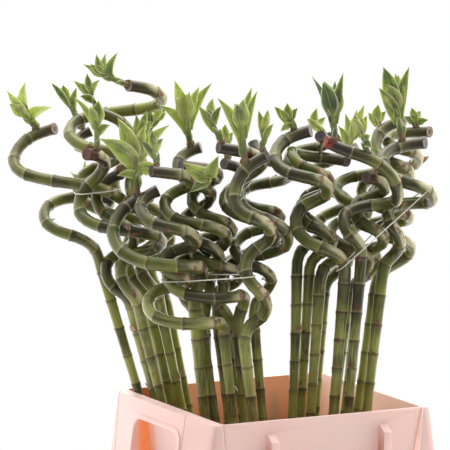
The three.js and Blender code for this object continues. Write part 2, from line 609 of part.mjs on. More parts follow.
// A lance-shaped blade, folded a little along its middle, from its foot in the stem to its tip
function blade(foot, tip, growing, width, lean, thick) {
  const length = foot.distanceTo(tip);
  const bend = foot.clone().addScaledVector(growing, length * LEAF_CURVE);
  const curve = new THREE.QuadraticBezierCurve3(foot, bend, tip);
  const places = width < BLADE.small ? BLADE.at.slice(0, 2) : BLADE.at;
  const rings = places.map((t, i) => {
    const point = curve.getPoint(t);
    const along = curve.getTangent(t);
    const facing = TOWARDS.clone().addScaledVector(along, -TOWARDS.dot(along)).normalize();
    facing.applyAxisAngle(along, lean);
    const across = along.clone().cross(facing).normalize();
    const half = width * BLADE.sides[i] / 2;
    const edge = point.clone().addScaledVector(facing, width * BLADE.sides[i] * BLADE.fold);
    return [
      edge.clone().addScaledVector(across, -half),
      point.clone().addScaledVector(facing, thick / 2),
      edge.clone().addScaledVector(across, half),
      point.clone().addScaledVector(facing, -thick / 2),
    ];
  });
  rings.push([tip]);
  return solid(skin(rings));
}

function boxesMeet(a, b) {
  return [0, 1, 2].every((i) => a.min[i] < b.max[i] && b.min[i] < a.max[i]);
}

const crosses = (body, others) => others.some((other) => (
  boxesMeet(body.boundingBox(), other.boundingBox()) && !body.intersect(other).isEmpty()));

// A shoot's stem and leaves. Each is moved towards or away from the viewer until it stands clear.
function growShoot(name, shoot, canes, guards, taken) {
  const root = pointBack(canes[shoot.on], shoot.back);
  const rootNear = root.dot(TOWARDS);
  const seen = (right, up, near) => {
    const point = placed(right, up, 0);
    const depth = rootNear + near - point.dot(TOWARDS);
    return placed(right, up, depth);
  };
  const others = Object.entries(guards).filter(([key]) => key !== shoot.on).map(([, guard]) => guard);
  const [right, up, near] = shoot.stem;
  const makeStem = (shift, grow) => {
    const end = seen(right, up, near + shift);
    const hang = new THREE.Vector3(0, 0, -root.distanceTo(end) * STEM.hang);
    const middle = root.clone().lerp(end, 0.5).add(hang);
    const points = [root, middle, end];
    const radii = STEM.thins.map((share) => shoot.thick * share + grow);
    const way = end.clone().sub(middle).normalize();
    const top = end.clone().addScaledVector(way, shoot.thick * STEM.point);
    const body = solid(skin([...tubeRings(points, radii, STEM_SIDES), [top]]));
    return { body, middle, end };
  };
  const clear = (value) => !crosses(makeStem(value, ROOM.stem).body, [...others, ...taken]);
  const shift = SHIFTS.find(clear) ?? 0;
  const stem = makeStem(shift, 0);
  const growing = stem.end.clone().sub(stem.middle).normalize();
  const bodies = [stem.body];
  const blocked = [...Object.values(guards), ...taken];
  shoot.leaves.forEach(([leafRight, leafUp, leafNear, width], i) => {
    const share = (i + 1) / shoot.leaves.length;
    const axis = stem.middle.clone().lerp(stem.end, share);
    const outward = seen(leafRight, leafUp, leafNear).sub(axis).projectOnPlane(growing).normalize();
    const foot = axis.addScaledVector(outward, shoot.thick * LEAF_FOOT);
    const lean = THREE.MathUtils.degToRad(((i * 47 + name.length * 13) % 50) - 25);
    const make = (value, thick) => (
      blade(foot, seen(leafRight, leafUp, leafNear + value), growing, width, lean, thick));
    const found = SHIFTS.find((value) => !crosses(make(value, BLADE.thick + ROOM.leaf), blocked));
    if (found !== undefined) bodies.push(make(found, BLADE.thick));
  });
  const whole = joined(bodies).subtract(guards[shoot.on]);
  const parts = whole.decompose().sort((a, b) => b.volume() - a.volume());
  return parts[0].simplify(SLIVER);
}

// The outline of points in a plane, counter-clockwise
function hull(points) {
  const sorted = [...points].sort((a, b) => a.x - b.x || a.y - b.y);
  const side = (o, a, b) => (a.x - o.x) * (b.y - o.y) - (a.y - o.y) * (b.x - o.x);
  const walk = (list) => {
    const chain = [];
    for (const point of list) {
      while (chain.length > 1 && side(chain.at(-2), chain.at(-1), point) <= 0) chain.pop();
      chain.push(point);
    }
    return chain.slice(0, -1);
  };
  return [...walk(sorted), ...walk(sorted.reverse())];
}

function within(outline, point, margin) {
  return outline.every((a, i) => {
    const b = outline[(i + 1) % outline.length];
    const edge = b.clone().sub(a).normalize();
    return edge.x * (point.y - a.y) - edge.y * (point.x - a.x) > -margin;
  });
}

// Where a cane's skin passes a slanted plane, as one patch of points for each crossing
function patches(cane, plane, axes, origin) {
  const rings = tubeRings(cane.map((s) => s.point), cane.map((s) => s.radius), CANE.sides);
  const found = [];
  for (let i = 0; i < rings.length - 1; i += 1) {
    const patch = [];
    for (const lift of THREAD_LIFTS) {
      for (let k = 0; k < CANE.sides; k += 1) {
        const a = rings[i][k];
        for (const b of [rings[i + 1][k], rings[i + 1][(k + 1) % CANE.sides]]) {
          const [da, db] = [plane.distanceToPoint(a) - lift, plane.distanceToPoint(b) - lift];
          if (da * db > 0) continue;
          const hit = a.clone().lerp(b, da / (da - db)).sub(origin);
          patch.push(new THREE.Vector2(hit.dot(axes[0]), hit.dot(axes[1])));
        }
      }
    }
    if (patch.length > 0) found.push(patch);
  }
  return found;
}

// A thread drawn round the outermost canes in its plane
function tieSkin(tie, canes) {
  const origin = placed(...tie.at);
  const across = new THREE.Vector3(Math.cos(TURN), -Math.sin(TURN), tie.slope).normalize();
  const level = TOWARDS.clone().negate();
  const normal = across.clone().cross(level).normalize();
  const plane = new THREE.Plane().setFromNormalAndCoplanarPoint(normal, origin);
  const all = Object.entries(canes).flatMap(([name, cane]) => (
    patches(cane, plane, [across, level], origin).map((patch) => (
      { patch, kept: tie.round.includes(name) }))));
  let outline = [];
  for (let round = 0; round < THREAD.rounds; round += 1) {
    outline = hull(all.filter(({ kept }) => kept).flatMap(({ patch }) => patch));
    for (const item of all) {
      if (item.patch.some((point) => within(outline, point, THREAD.catch))) item.kept = true;
    }
  }
  const step = 2 * Math.PI / THREAD.corners;
  const eased = outline.flatMap((corner) => [...Array(THREAD.corners).keys()].map((k) => (
    new THREE.Vector2(THREAD.off, 0).rotateAround(new THREE.Vector2(), k * step).add(corner))));
  const apart = (point, i, list) => point.distanceTo(list[(i + 1) % list.length]) > THREAD.closest;
  const loop = hull(eased).filter(apart);
  const points = loop.map(({ x, y }) => origin.clone().addScaledVector(across, x).addScaledVector(level, y));
  const rings = points.map((point, i) => {
    const before = points[(i + points.length - 1) % points.length];
    const after = points[(i + 1) % points.length];
    const outward = after.clone().sub(before).cross(plane.normal).normalize();
    return [...Array(THREAD.sides).keys()].map((k) => {
      const turn = 2 * Math.PI * k / THREAD.sides;
      return point.clone().addScaledVector(outward, THREAD.radius * Math.cos(turn))
        .addScaledVector(plane.normal, THREAD.radius * Math.sin(turn));
    });
  });
  return ringLoop(rings);
}

// A closed ring of sections, each joined to the next and the last to the first
function ringLoop(rings) {
  const sides = rings[0].length;
  const places = rings.flat().flatMap((p) => [p.x, p.y, p.z]);
  const faces = [];
  rings.forEach((ring, i) => {
    const next = (i + 1) % rings.length;
    for (let k = 0; k < sides; k += 1) {
      const [a, b] = [i * sides + k, i * sides + (k + 1) % sides];
      const [c, d] = [next * sides + (k + 1) % sides, next * sides + k];
      faces.push(a, b, c, a, c, d);
    }
  });
  return outwards(places, faces);
}

const FINISH = {
  bucket: { color: 0xf0c4b2, roughness: 0.42, metalness: 0 },
  water: { color: 0xb9cfc6, roughness: 0.05, metalness: 0 },
  cane: { color: 0x5f7a3a, roughness: 0.4, metalness: 0 },
  leaf: { color: 0x76a83a, roughness: 0.45, metalness: 0 },
  tie: { color: 0xe8e6da, roughness: 0.5, metalness: 0 },
};

function piece(name, geometry, finish) {
  const mesh = new THREE.Mesh(geometry, new THREE.MeshStandardMaterial(FINISH[finish]));
  mesh.name = name;
  return mesh;
}

const canes = Object.fromEntries(Object.entries(CANES).map(([name, cane]) => [name, stations(cane)]));
bendClear(canes);

const plant = new THREE.Group();
plant.add(piece('bucket', geometryOf(bucket()), 'bucket'));
plant.add(piece('water', geometryOf(water(canes)), 'water'));
for (const [name, cane] of Object.entries(canes)) {
  plant.add(piece(name, caneSkin(cane), 'cane'));
}

for (const [name, tie] of Object.entries(TIES)) {
  plant.add(piece(name, tieSkin(tie, canes), 'tie'));
}
const guards = Object.fromEntries(Object.entries(canes).map(([name, cane]) => (
  [name, solid(caneSkin(cane, GAP + 0.05))])));
const taken = Object.keys(TIES).map((name) => solid(plant.getObjectByName(name).geometry));
for (const [name, shoot] of Object.entries(SHOOTS)) {
  const body = growShoot(name, shoot, canes, guards, taken);
  taken.push(body);
  plant.add(piece(name, geometryOf(body), 'leaf'));
}

export default plant;
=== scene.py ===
"""Lucky bamboo in a plastic bucket: its looks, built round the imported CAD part."""

import math
import random
from contextlib import contextmanager

import bmesh
import bpy
import numpy as np
from bpy.props import FloatProperty, FloatVectorProperty, IntProperty, PointerProperty
from mathutils import Matrix, Vector


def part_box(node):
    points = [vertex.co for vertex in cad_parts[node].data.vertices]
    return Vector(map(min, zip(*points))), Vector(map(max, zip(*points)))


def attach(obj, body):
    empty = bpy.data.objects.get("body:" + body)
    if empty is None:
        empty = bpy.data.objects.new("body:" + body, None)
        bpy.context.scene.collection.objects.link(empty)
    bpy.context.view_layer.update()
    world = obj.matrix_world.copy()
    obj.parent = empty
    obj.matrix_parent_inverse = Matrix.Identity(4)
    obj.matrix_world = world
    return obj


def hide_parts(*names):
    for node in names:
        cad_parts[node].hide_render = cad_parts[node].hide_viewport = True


bl_info = {
    "name": "Lucky Bamboo in a Bucket",
    "version": (1, 0, 0),
    "blender": (4, 5, 0),
    "location": "3D View > Sidebar > Bamboo",
    "description": "Curled bamboo canes with leafy shoots, standing in a plastic bucket",
    "category": "Add Mesh",
}

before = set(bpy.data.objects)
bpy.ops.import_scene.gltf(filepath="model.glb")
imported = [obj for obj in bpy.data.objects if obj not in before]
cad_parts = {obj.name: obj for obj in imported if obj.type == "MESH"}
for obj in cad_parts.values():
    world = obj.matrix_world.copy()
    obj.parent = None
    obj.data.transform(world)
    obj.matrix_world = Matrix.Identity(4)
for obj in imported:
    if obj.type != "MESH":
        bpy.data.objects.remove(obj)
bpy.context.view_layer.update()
CAD_NODES = sorted(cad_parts)
RIM_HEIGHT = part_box("bucket")[1].z
# From the middle of the bucket: its wall at the rim and at the floor, and where the skirts start
WALL_AT_RIM = 0.1425
WALL_AT_FLOOR = 0.1155
SKIRT_FROM = 0.149
# Mould grooves on the handle sides: where they stand, the lean of the back one, how far below the
# rim they end, and how far from its middle a groove fades in
BACK_GROOVE = 0.1326
FRONT_GROOVE = -0.0626
GROOVE_LEAN = 0.125
GROOVE_REACH = 0.099
GROOVE_EDGE = (0.0011, 0.0006)
# The green of the straight canes turns into that of the curls between these heights over the rim
CURLS_FROM = 0.07
CURLS_TO = 0.2
# The rings of a cut end from its rim to its heart: place and colour
CUT_RINGS = [
    (0.0, 0x2C2C1E), (0.1, 0x33282A), (0.2, 0x66565C), (0.34, 0x271C24), (0.56, 0x4E3F4A),
    (0.78, 0x1E151B), (1.0, 0x140D12)]
SEED = 41

# The view that the plant was laid out for: how far it is turned and how steeply it looks down
TURN = math.radians(27)
RISE = math.radians(10.3)
RIGHT = Vector((math.cos(TURN), -math.sin(TURN), 0))
NEAR = Vector((-math.sin(TURN), -math.cos(TURN), 0))
UP = Vector((0, 0, 1))

# The CAD tubes have six sides. A round tube looks as wide as they do at this share of their radius.
CANE_SIDES = 6
ROUND_SHARE = 0.955
CANE_RADIUS = 0.0078

# Leafy side shoots of each bunch, as in the CAD source: the number of the cane that each grows on,
# how far back from the cut tip in mm, where its stem ends as seen [right, up] in mm from the rim's
# centre, its radius, its age where the photograph shows it (0 is fresh and yellow-green, 1 is old
# and dark), and its leaves' tips [right, up, width], lowest leaf first
SHOOTS = {
    "left": [
        (7, 18, (-317, 362), 3.9, 0.05, [(-284, 372, 12), (-341, 393, 11), (-318, 405, 12)]),
        (5, 8, (-264, 382), 3.2, 0.75, [(-252, 398, 8), (-285, 404, 7), (-268, 399, 8)]),
        (6, 9, (-234, 388), 3.2, None, [(-246, 384, 8), (-255, 405, 8), (-221, 406, 7), (-237, 413, 8)]),
        (4, 10, (-213, 409), 3.9, 0.45, [
            (-241, 423, 8), (-196, 437, 8), (-212, 437, 8), (-223, 434, 9)]),
        (2, 16, (-223, 345), 3.5, 0.35, [(-205, 343, 9), (-250, 378, 8), (-219, 373, 15)]),
        (6, 80, (-150, 356), 3.2, None, [(-162, 373, 9), (-137, 374, 8), (-148, 384, 9)]),
        (3, 8, (-170, 334), 3.2, None, [(-153, 352, 8), (-175, 362, 9), (-161, 366, 8)]),
        (1, 40, (-238, 270), 3, None, [(-262, 292, 9), (-224, 300, 9), (-242, 306, 8)])],
    "middle": [
        (1, 19, (-172, 299), 4, 0.2, [
            (-196, 279, 9), (-130, 279, 14), (-217, 325, 19), (-130, 343, 13), (-195, 351, 17),
            (-160, 343, 12)]),
        (8, 14, (-109, 352), 3.8, 0.1, [
            (-144, 371, 10), (-77, 400, 11), (-125, 404, 13), (-93, 394, 11), (-114, 388, 16)]),
        (5, 10, (-77, 347), 3.1, None, [(-93, 365, 9), (-64, 365, 8), (-75, 375, 9)]),
        (7, 44, (-80, 277), 3.5, 0.3, [(-104, 258, 12), (-113, 295, 16), (-68, 304, 13)]),
        (4, 34, (-38, 338), 3.9, 0.45, [(-69, 374, 11), (-19, 383, 9), (-26, 388, 9), (-45, 366, 14)]),
        (4, 8, (-11, 336), 2.8, None, [(1, 343, 7), (-18, 360, 7), (-6, 361, 7)]),
        (6, 8, (-60, 322), 3, None, [(-73, 333, 8), (-50, 336, 8), (-60, 346, 9)]),
        (3, 9, (-150, 312), 3, None, [(-166, 322, 9), (-138, 326, 8), (-152, 336, 8)])],
    "right": [
        (1, 18, (21, 350), 3.2, 0.5, [(10, 336, 8), (2, 368, 9), (32, 366, 8), (19, 372, 9)]),
        (4, 14, (76, 352), 3.9, 0.95, [(49, 401, 7), (88, 405, 9), (78, 396, 10), (62, 392, 16)]),
        (3, 8, (100, 328), 3.2, None, [(83, 344, 9), (92, 360, 9), (107, 366, 8), (116, 371, 9)]),
        (4, 62, (112, 330), 3, None, [(124, 311, 8), (122, 327, 8), (102, 353, 8), (118, 352, 8)]),
        (6, 30, (158, 366), 4, 0.6, [(134, 392, 13), (173, 419, 11), (156, 412, 9), (140, 418, 16)]),
        (8, 14, (183, 354), 3.2, None, [(200, 356, 8), (168, 360, 8), (190, 368, 9), (178, 372, 8)]),
        (7, 34, (134, 350), 3, None, [(122, 364, 8), (145, 366, 8), (135, 374, 10)]),
        (9, 9, (56, 346), 3, None, [(44, 358, 9), (68, 360, 8), (57, 371, 9)]),
        (5, 8, (136, 302), 2.8, None, [(148, 314, 8), (126, 318, 8), (139, 326, 8)])]}
# Cut tips that are sealed with wax, and how red the wax is
WAXED = {"cane_right_4": 1.0, "cane_left_2": 0.2}


def srgb(code):
    """A linear colour from a colour code as painters pick it."""
    shares = [(code >> shift & 255) / 255 for shift in (16, 8, 0)]
    return tuple(s / 12.92 if s <= 0.04045 else ((s + 0.055) / 1.055) ** 2.4 for s in shares)


def colour(name, description, code):
    return FloatVectorProperty(
        name=name, description=description, subtype="COLOR", size=3, min=0, max=1, default=srgb(code))


def length(name, description, default):
    return FloatProperty(
        name=name, description=description, unit="LENGTH", precision=5, min=0, default=default)


class CaneSettings(bpy.types.PropertyGroup):
    """Sizes and colours of the canes."""

    internode: length("Internode", "Distance from one node ring to the next", 0.037)
    sides: IntProperty(name="Sides", description="Faces round a cane", min=8, default=20)
    ring_line: length("Ring Line", "Width of the brown line at a node", 0.0012)
    scar: length("Scar", "Height of the pale band above a node", 0.0036)
    aged: length("Aged Length", "How far back from a cut tip the skin is brown", 0.08)
    waxed: length("Wax Length", "How far the wax reaches over a sealed tip", 0.0105)
    skin: colour("Skin", "Green of the curled part", 0x4F5A22)
    straight: colour("Straight Part", "Green of the straight part near the water", 0xA6AA62)
    shade: colour("Dark Skin", "Darker green that mottles the skin", 0x1D2210)
    # Also painted light: the canes further back get more of this yellow-green, as if lit
    young_and_lit_skin: colour("Young Skin", "Yellow-green of the canes at the back", 0x9A9E48)
    band: colour("Band", "Pale band by a node", 0xA09A6A)
    stretched: colour("Stretched Skin", "Pale skin on the outer side of a bend", 0xCBC5A0)
    old: colour("Old Skin", "Purple-brown skin near a cut tip and on scars", 0x3B2A2C)
    line: colour("Line", "Brown line at a node", 0x5A3627)
    scar_red: colour("Red Scar", "Reddish dry marks by the nodes", 0x7E4A3B)
    wax: colour("Wax", "Wax on a sealed tip", 0xA63F2C)
    paper: colour("Dry Sheath", "Papery bits of the old sheaths", 0xBC9B86)


class ShootSettings(bpy.types.PropertyGroup):
    """Sizes and colours of the side shoots."""

    thickness: length("Leaf Thickness", "Thickness of a leaf blade", 0.0007)
    bright: colour("Bright Leaf", "Colour of a young leaf", 0xCDD66C)
    deep: colour("Deep Leaf", "Colour of an older leaf", 0x4D6136)
    # Also painted light: laid wider along the edge of a blade as light shining through it
    margin: colour("Margin", "Thin pale edge of a leaf", 0xE8EAC6)
    stem: colour("Stem", "Colour of a shoot's sheathed stem", 0x98A058)
    husk: colour("Husk", "Dry sheath round the foot of a shoot", 0x8A6450)


class BucketSettings(bpy.types.PropertyGroup):
    """Sizes and colours of the bucket, the water and the ties."""

    edge: length("Edge Radius", "Rounding of the bucket's edges", 0.0008)
    plastic: colour("Plastic", "Colour of the bucket", 0xF5D0C8)
    # Painted shade: the flared left face of the bucket is painted with more of this, to tone down the light
    # on it
    skirt: colour("Skirt", "Pinker plastic of the left skirt", 0xE9B5AB)
    # Painted light: the light that comes through the wall, painted warm on the inside
    inside: colour("Inside", "Warmer plastic that the light reaches through the wall", 0xC69D74)
    # Painted shade: the inside painted darker deep down
    depth: colour("Depth", "Darker plastic deep inside", 0x855A34)
    # Painted light: the insides of the skirts are painted pale and made to glow
    hollow: colour("Hollow", "Pale plastic inside the skirts", 0xFFF4EE)
    shadow: colour("Shadow", "Plastic in the shade of the fins", 0xC07C5E)
    glow: colour("Glow", "Plastic that the light shines through, behind the handles", 0xF09355)
    stain: colour("Stain", "Colour of old marks on the bucket", 0xC08A6C)
    # Partly painted shade: the dark lines in the grooves stand for dirt and for shade in the groove
    grime_and_groove_shade: colour("Grime", "Dirt in the grooves", 0x8E5F52)
    thread: colour("Thread", "Colour of the elastic ties", 0xEDEADB)


class StageSettings(bpy.types.PropertyGroup):
    """The camera and the light."""

    distance: length("Camera Distance", "From the camera to the middle of the rim", 6.0)
    lens: FloatProperty(name="Lens", description="Focal length in mm", min=1, default=375)
    floor: length("Floor Radius", "Radius of the round floor", 0.95)
    front_light: FloatProperty(
        name="Front Light", description="Strength of the light from the viewer's side", min=0, default=0.42)
    back_light: FloatProperty(
        name="Back Light", description="Strength of the light from behind", min=0, default=2.7)


def placed(right, up, near):
    """A point given as seen, in metres right of, above and nearer than the middle of the rim."""
    height = (up + near * math.sin(RISE)) / math.cos(RISE)
    return RIGHT * right + NEAR * near + UP * (RIM_HEIGHT + height)


def as_seen(point):
    """How far right, up and near a point is seen from the middle of the rim."""
    near = point.dot(NEAR)
    return Vector((point.dot(RIGHT), (point.z - RIM_HEIGHT) * math.cos(RISE) - near * math.sin(RISE), near))


def both_ways(operation):
    """The two methods by which a wire meets a number or a wire on its right or on its left."""
    def on_right(wire, other):
        return wire.nodes.maths(operation, wire, other)

    def on_left(wire, other):
        return wire.nodes.maths(operation, other, wire)

    return on_right, on_left


class Wire:
    """One output socket of a node, on which plain arithmetic adds Math nodes."""

    def __init__(self, nodes, socket):
        self.nodes = nodes
        self.socket = socket

    def maths(self, operation, *others):
        return self.nodes.maths(operation, self, *others)

    __add__, __radd__ = both_ways("ADD")
    __sub__, __rsub__ = both_ways("SUBTRACT")
    __mul__, __rmul__ = both_ways("MULTIPLY")

    def step(self, low, high):
        """0 below low and 1 above high, with a soft change between. low may be the larger one."""
        return self.nodes.node(
            "ShaderNodeMapRange", {"interpolation_type": "SMOOTHSTEP"},
            {0: self, 1: low, 2: high, 3: 0.0, 4: 1.0})


class Nodes:
    """The nodes of a material or a world, with one method for every kind of node."""

    def __init__(self, tree):
        self.tree = tree

    def plug(self, value, socket):
        if isinstance(value, Wire):
            self.tree.links.new(value.socket, socket)
        elif socket.type == "RGBA":
            socket.default_value = (*value, 1)
        else:
            socket.default_value = value

    def node(self, kind, settings=None, values=None, output=0):
        """A node with its settings made first, then the values or wires of its sockets."""
        made = self.tree.nodes.new(kind)
        for key, value in (settings or {}).items():
            setattr(made, key, value)
        for key, value in (values or {}).items():
            self.plug(value, made.inputs[key])
        return Wire(self, made.outputs[output])

    def maths(self, operation, *values):
        return self.node("ShaderNodeMath", {"operation": operation}, dict(enumerate(values)))

    def mix(self, factor, first, second):
        """A colour that goes from first to second as factor goes from 0 to 1."""
        return self.node(
            "ShaderNodeMix", {"data_type": "RGBA"}, {0: factor, 6: first, 7: second}, output=2)

    def ramp(self, factor, stops):
        """A colour that goes through stops, each a place and a colour code, as factor rises."""
        tint = self.node("ShaderNodeValToRGB", None, {0: factor})
        elements = tint.socket.node.color_ramp.elements
        while len(elements) < len(stops):
            elements.new(0.5)
        for element, (place, code) in zip(elements, stops):
            element.position = place
            element.color = (*srgb(code), 1)
        return tint

    def noise(self, scale, detail, rough, where=None):
        return self.node(
            "ShaderNodeTexNoise", None,
            {"Vector": where or self.place(), "Scale": scale, "Detail": detail, "Roughness": rough})

    def place(self):
        return self.node("ShaderNodeTexCoord", output="Object")

    def parts(self, vector):
        """The three numbers of a vector."""
        split = self.node("ShaderNodeSeparateXYZ", None, {0: vector}).socket.node
        return [Wire(self, socket) for socket in split.outputs]

    def vector(self, x, y, z):
        return self.node("ShaderNodeCombineXYZ", None, {0: x, 1: y, 2: z})

    def attributes(self, *names):
        """The numbers that a mesh keeps under these names."""
        return [self.node("ShaderNodeAttribute", {"attribute_name": name}, output="Fac") for name in names]

    def map_uv(self, name):
        return self.node("ShaderNodeUVMap", {"uv_map": name})


class Paint(Nodes):
    """A material on the standard surface shader, with its base colour laid on coat by coat."""

    def __init__(self, name, **settings):
        self.material = bpy.data.materials.new(name)
        self.material.use_nodes = True
        super().__init__(self.material.node_tree)
        self.shader = self.tree.nodes["Principled BSDF"]
        self.base = None
        for socket, value in settings.items():
            self.shader.inputs[socket.replace("_", " ")].default_value = value

    def lay(self, share, tint):
        """Lays a share of a colour over the base colour made so far."""
        self.base = self.mix(share, self.base, tint)

    def bump(self, height, strength, distance):
        self.shader_input("Normal", self.node(
            "ShaderNodeBump", None, {"Height": height, "Strength": strength, "Distance": distance}))

    def shader_input(self, name, value):
        self.plug(value, self.shader.inputs[name])

    def finished(self):
        """The material, with its base colour plugged in."""
        self.shader_input("Base Color", self.base)
        return self.material


def skin_paint(settings):
    """Cane skin: green, streaked lengthwise, with a brown ring and reddish scars at each node."""
    paint = Paint("bamboo_skin", Specular_IOR_Level=0.42, Specular_Tint=(1.0, 0.93, 0.72, 1),
                  Coat_Weight=0.4, Coat_Roughness=0.2, Coat_Tint=(1.0, 0.96, 0.84, 1))
    turn, along, _ = paint.parts(paint.map_uv("skin"))
    tone, from_tip, pith, waxed, callus, dry = paint.attributes(
        "tone", "from_tip", "pith", "wax", "callus", "dry")
    angle = turn * (2 * math.pi)
    round_x = angle.maths("COSINE")
    round_y = angle.maths("SINE")
    streaks = paint.noise(3.0, 3, 0.6, paint.vector(round_x * 2.2, round_y * 2.2, along * 0.5))
    fibres = paint.noise(3.0, 2, 0.6, paint.vector(round_x * 7.0, round_y * 7.0, along * 0.4))
    blotches = paint.noise(38.0, 3, 0.55)
    patches = paint.noise(13.0, 2, 0.5)
    # Greens: straight or curled, then streaks and patches, with a tone of each internode's own
    _, _, height = paint.parts(paint.place())
    curled = (height + (patches - 0.5) * 0.1).step(RIM_HEIGHT + CURLS_FROM, RIM_HEIGHT + CURLS_TO)
    paint.base = paint.mix(curled, settings.straight, settings.skin)
    # Painted light: canes of a higher tone, partly those further back, are painted lighter yellow-green as
    # if lit, and their dark mottle is thinned
    paint.lay((tone + (patches - 0.5)).step(0.45, 1.05) * 0.7, settings.young_and_lit_skin)
    reached = along + (round_x * 0.02 + (blotches - 0.5) * 0.03)
    share = reached.maths("FRACT")
    number = reached.maths("FLOOR") + tone * 90.0
    own = paint.node("ShaderNodeTexWhiteNoise", {"noise_dimensions": "1D"}, {"W": number})
    dark = (streaks * 0.5 + patches * 0.4 + own * 0.14 + curled * 0.05 - tone * 0.08).step(0.45, 0.66)
    paint.lay(dark * 0.92, settings.shade)
    fresh = (streaks * 0.6 + patches * 0.5 + tone * 0.12).step(0.5, 0.34)
    paint.lay(fresh * 0.6, settings.young_and_lit_skin)
    # Each internode darker towards its upper end and lighter just above its lower ring, by a random amount
    # of its own
    darker_upwards = (share + (streaks - 0.5) * 0.5).step(0.35, 1.1) * own.step(0.1, 0.9)
    paint.lay(darker_upwards * 0.6, settings.shade)
    paint.lay(share.step(0.6, 0.1) * (1 - own) * 0.4, settings.young_and_lit_skin)
    paint.lay(fibres.step(0.5, 0.75) * 0.25, settings.band)
    worn = (paint.noise(16.0, 3, 0.6) + own * 0.08).step(0.56, 0.72)
    paint.lay(worn * 0.5, settings.old)
    # Callused elbows, aged skin near the tip, then the band, scars and line of each node
    pale = (callus + (blotches - 0.5) * 0.5).step(0.2, 0.65) * 0.9
    paint.lay(pale, settings.stretched)
    aged = from_tip.step(settings.aged, 0.0) * (0.35 + streaks * 0.9) * (1 - pale)
    paint.lay(aged, settings.old)
    from_node = share * settings.internode
    below = settings.internode - from_node
    band = from_node.step(settings.scar, settings.ring_line)
    paint.lay(band * (0.2 + blotches * 0.7), settings.band)
    near_node = from_node.maths("MINIMUM", below).step(0.007, 0.001)
    scarred = (paint.noise(70.0, 3, 0.6) + near_node * 0.07 + callus * 0.12).step(0.64, 0.73)
    paint.lay(scarred * 0.85, settings.scar_red)
    paint.lay(below.step(0.005, 0.0005) * 0.4, settings.shade)
    line = from_node.step(settings.ring_line, settings.ring_line * 0.4)
    line = line.maths("MAXIMUM", below.step(settings.ring_line * 0.7, settings.ring_line * 0.1))
    paint.lay(line * (0.2 + blotches * 0.8), settings.line)
    # The cut end, its wax, and the bits of dry sheath
    on_cut = pith.step(0.01, 0.06)
    bleached = tone.step(0.62, 0.8) * pith.step(0.75, 0.3)
    paint.lay(on_cut, paint.mix(bleached * 0.6, paint.ramp(pith, CUT_RINGS), settings.paper))
    lumps = paint.noise(260.0, 2, 0.6)
    wax_edge = from_tip + (blotches - 0.5) * 0.012 + (lumps - 0.5) * 0.004
    wax = wax_edge.step(settings.waxed + 0.001, settings.waxed - 0.001) * waxed.step(0.05, 0.1)
    wax_tint = paint.mix(lumps.step(0.35, 0.7), srgb(0x5E241B), settings.wax)
    paint.lay(wax, paint.mix(waxed, srgb(0x4A2220), wax_tint))
    paint.lay(dry, paint.mix(lumps.step(0.4, 0.7), settings.paper, settings.scar_red))
    paint.shader_input("Roughness", 0.24 + blotches * 0.16 + pale * 0.2 + on_cut * 0.3 + wax * 0.1)
    ridges = streaks * 0.6 + fibres * 0.3 - line * 0.8 + paint.noise(420.0, 2, 0.5) * (0.2 + pale * 0.6)
    paint.bump(ridges + wax * lumps * 3.0, 0.4, 0.0005)
    return paint.finished()


def leaf_paint(settings):
    """Leaf blade: yellow-green with soft stripes along it, a keel and a thin pale margin, darker in the
    middle and paler at the edge partly as painted shade and light.
    """
    paint = Paint("bamboo_leaf", Specular_IOR_Level=0.55, Coat_Weight=0.3, Coat_Roughness=0.3,
                  Subsurface_Weight=0.3, Subsurface_Scale=0.003, Subsurface_Radius=(0.8, 1.0, 0.3))
    across, along, _ = paint.parts(paint.map_uv("blade"))
    tone, husk = paint.attributes("tone", "dry")
    mottle = paint.noise(70.0, 2, 0.5)
    stripes = paint.noise(1.0, 3, 0.6, paint.vector(across * 11.0, along * 1.4, tone * 40.0))
    veins = (across * 95.0).maths("SINE") * 0.5 + 0.5
    off_middle = (across - 0.5).maths("ABSOLUTE") * 2.0
    # Darker in the middle of the blade: partly the leaf's own colour, partly painted shade in its fold
    centre = off_middle.step(1.0, 0.0) * along.step(0.0, 0.4)
    shade = tone * 0.9 + (mottle - 0.5) * 0.9 + (stripes - 0.5) * 1.1 + centre * 0.45
    paint.base = paint.mix(shade.step(0.1, 1.15), settings.bright, settings.deep)
    paint.lay(veins * 0.1, settings.deep)
    keel = off_middle.step(0.1, 0.02)
    paint.lay(keel * 0.25, settings.margin)
    # Paler at the edge: partly the leaf's own thin pale margin, partly painted light shining through the
    # edge
    margin = (off_middle + (mottle - 0.5) * 0.08).step(0.8, 0.98)
    paint.lay(margin * 0.7, settings.margin)
    foot = along.step(0.3, 0.02)
    paint.lay(foot * 0.6, settings.stem)
    dry_tip = (along + (mottle - 0.5) * 0.2).step(0.95, 1.0)
    paint.lay(dry_tip * 0.5, srgb(0x9A8A55))
    paint.lay(husk * (0.6 + mottle * 0.5), settings.husk)
    paint.shader_input("Roughness", 0.26 + mottle * 0.16)
    paint.bump(veins * 0.4 + stripes * 1.2 + mottle * 1.5, 0.5, 0.0006)
    return paint.finished()


def stem_paint(settings):
    """Sheathed stem of a shoot, darker and browner towards its cane."""
    paint = Paint("shoot_stem", Roughness=0.4, Specular_IOR_Level=0.5)
    mottle = paint.noise(90.0, 3, 0.6)
    up = paint.attributes("up")[0] + (mottle - 0.5) * 0.3
    paint.base = paint.mix(mottle.step(0.35, 0.7) * 0.55, settings.stem, settings.deep)
    paint.lay(up.step(0.95, 0.4) * 0.6, settings.deep)
    paint.lay(up.step(0.5, 0.25) * 0.8, settings.husk)
    paint.bump(mottle, 0.3, 0.0004)
    return paint.finished()


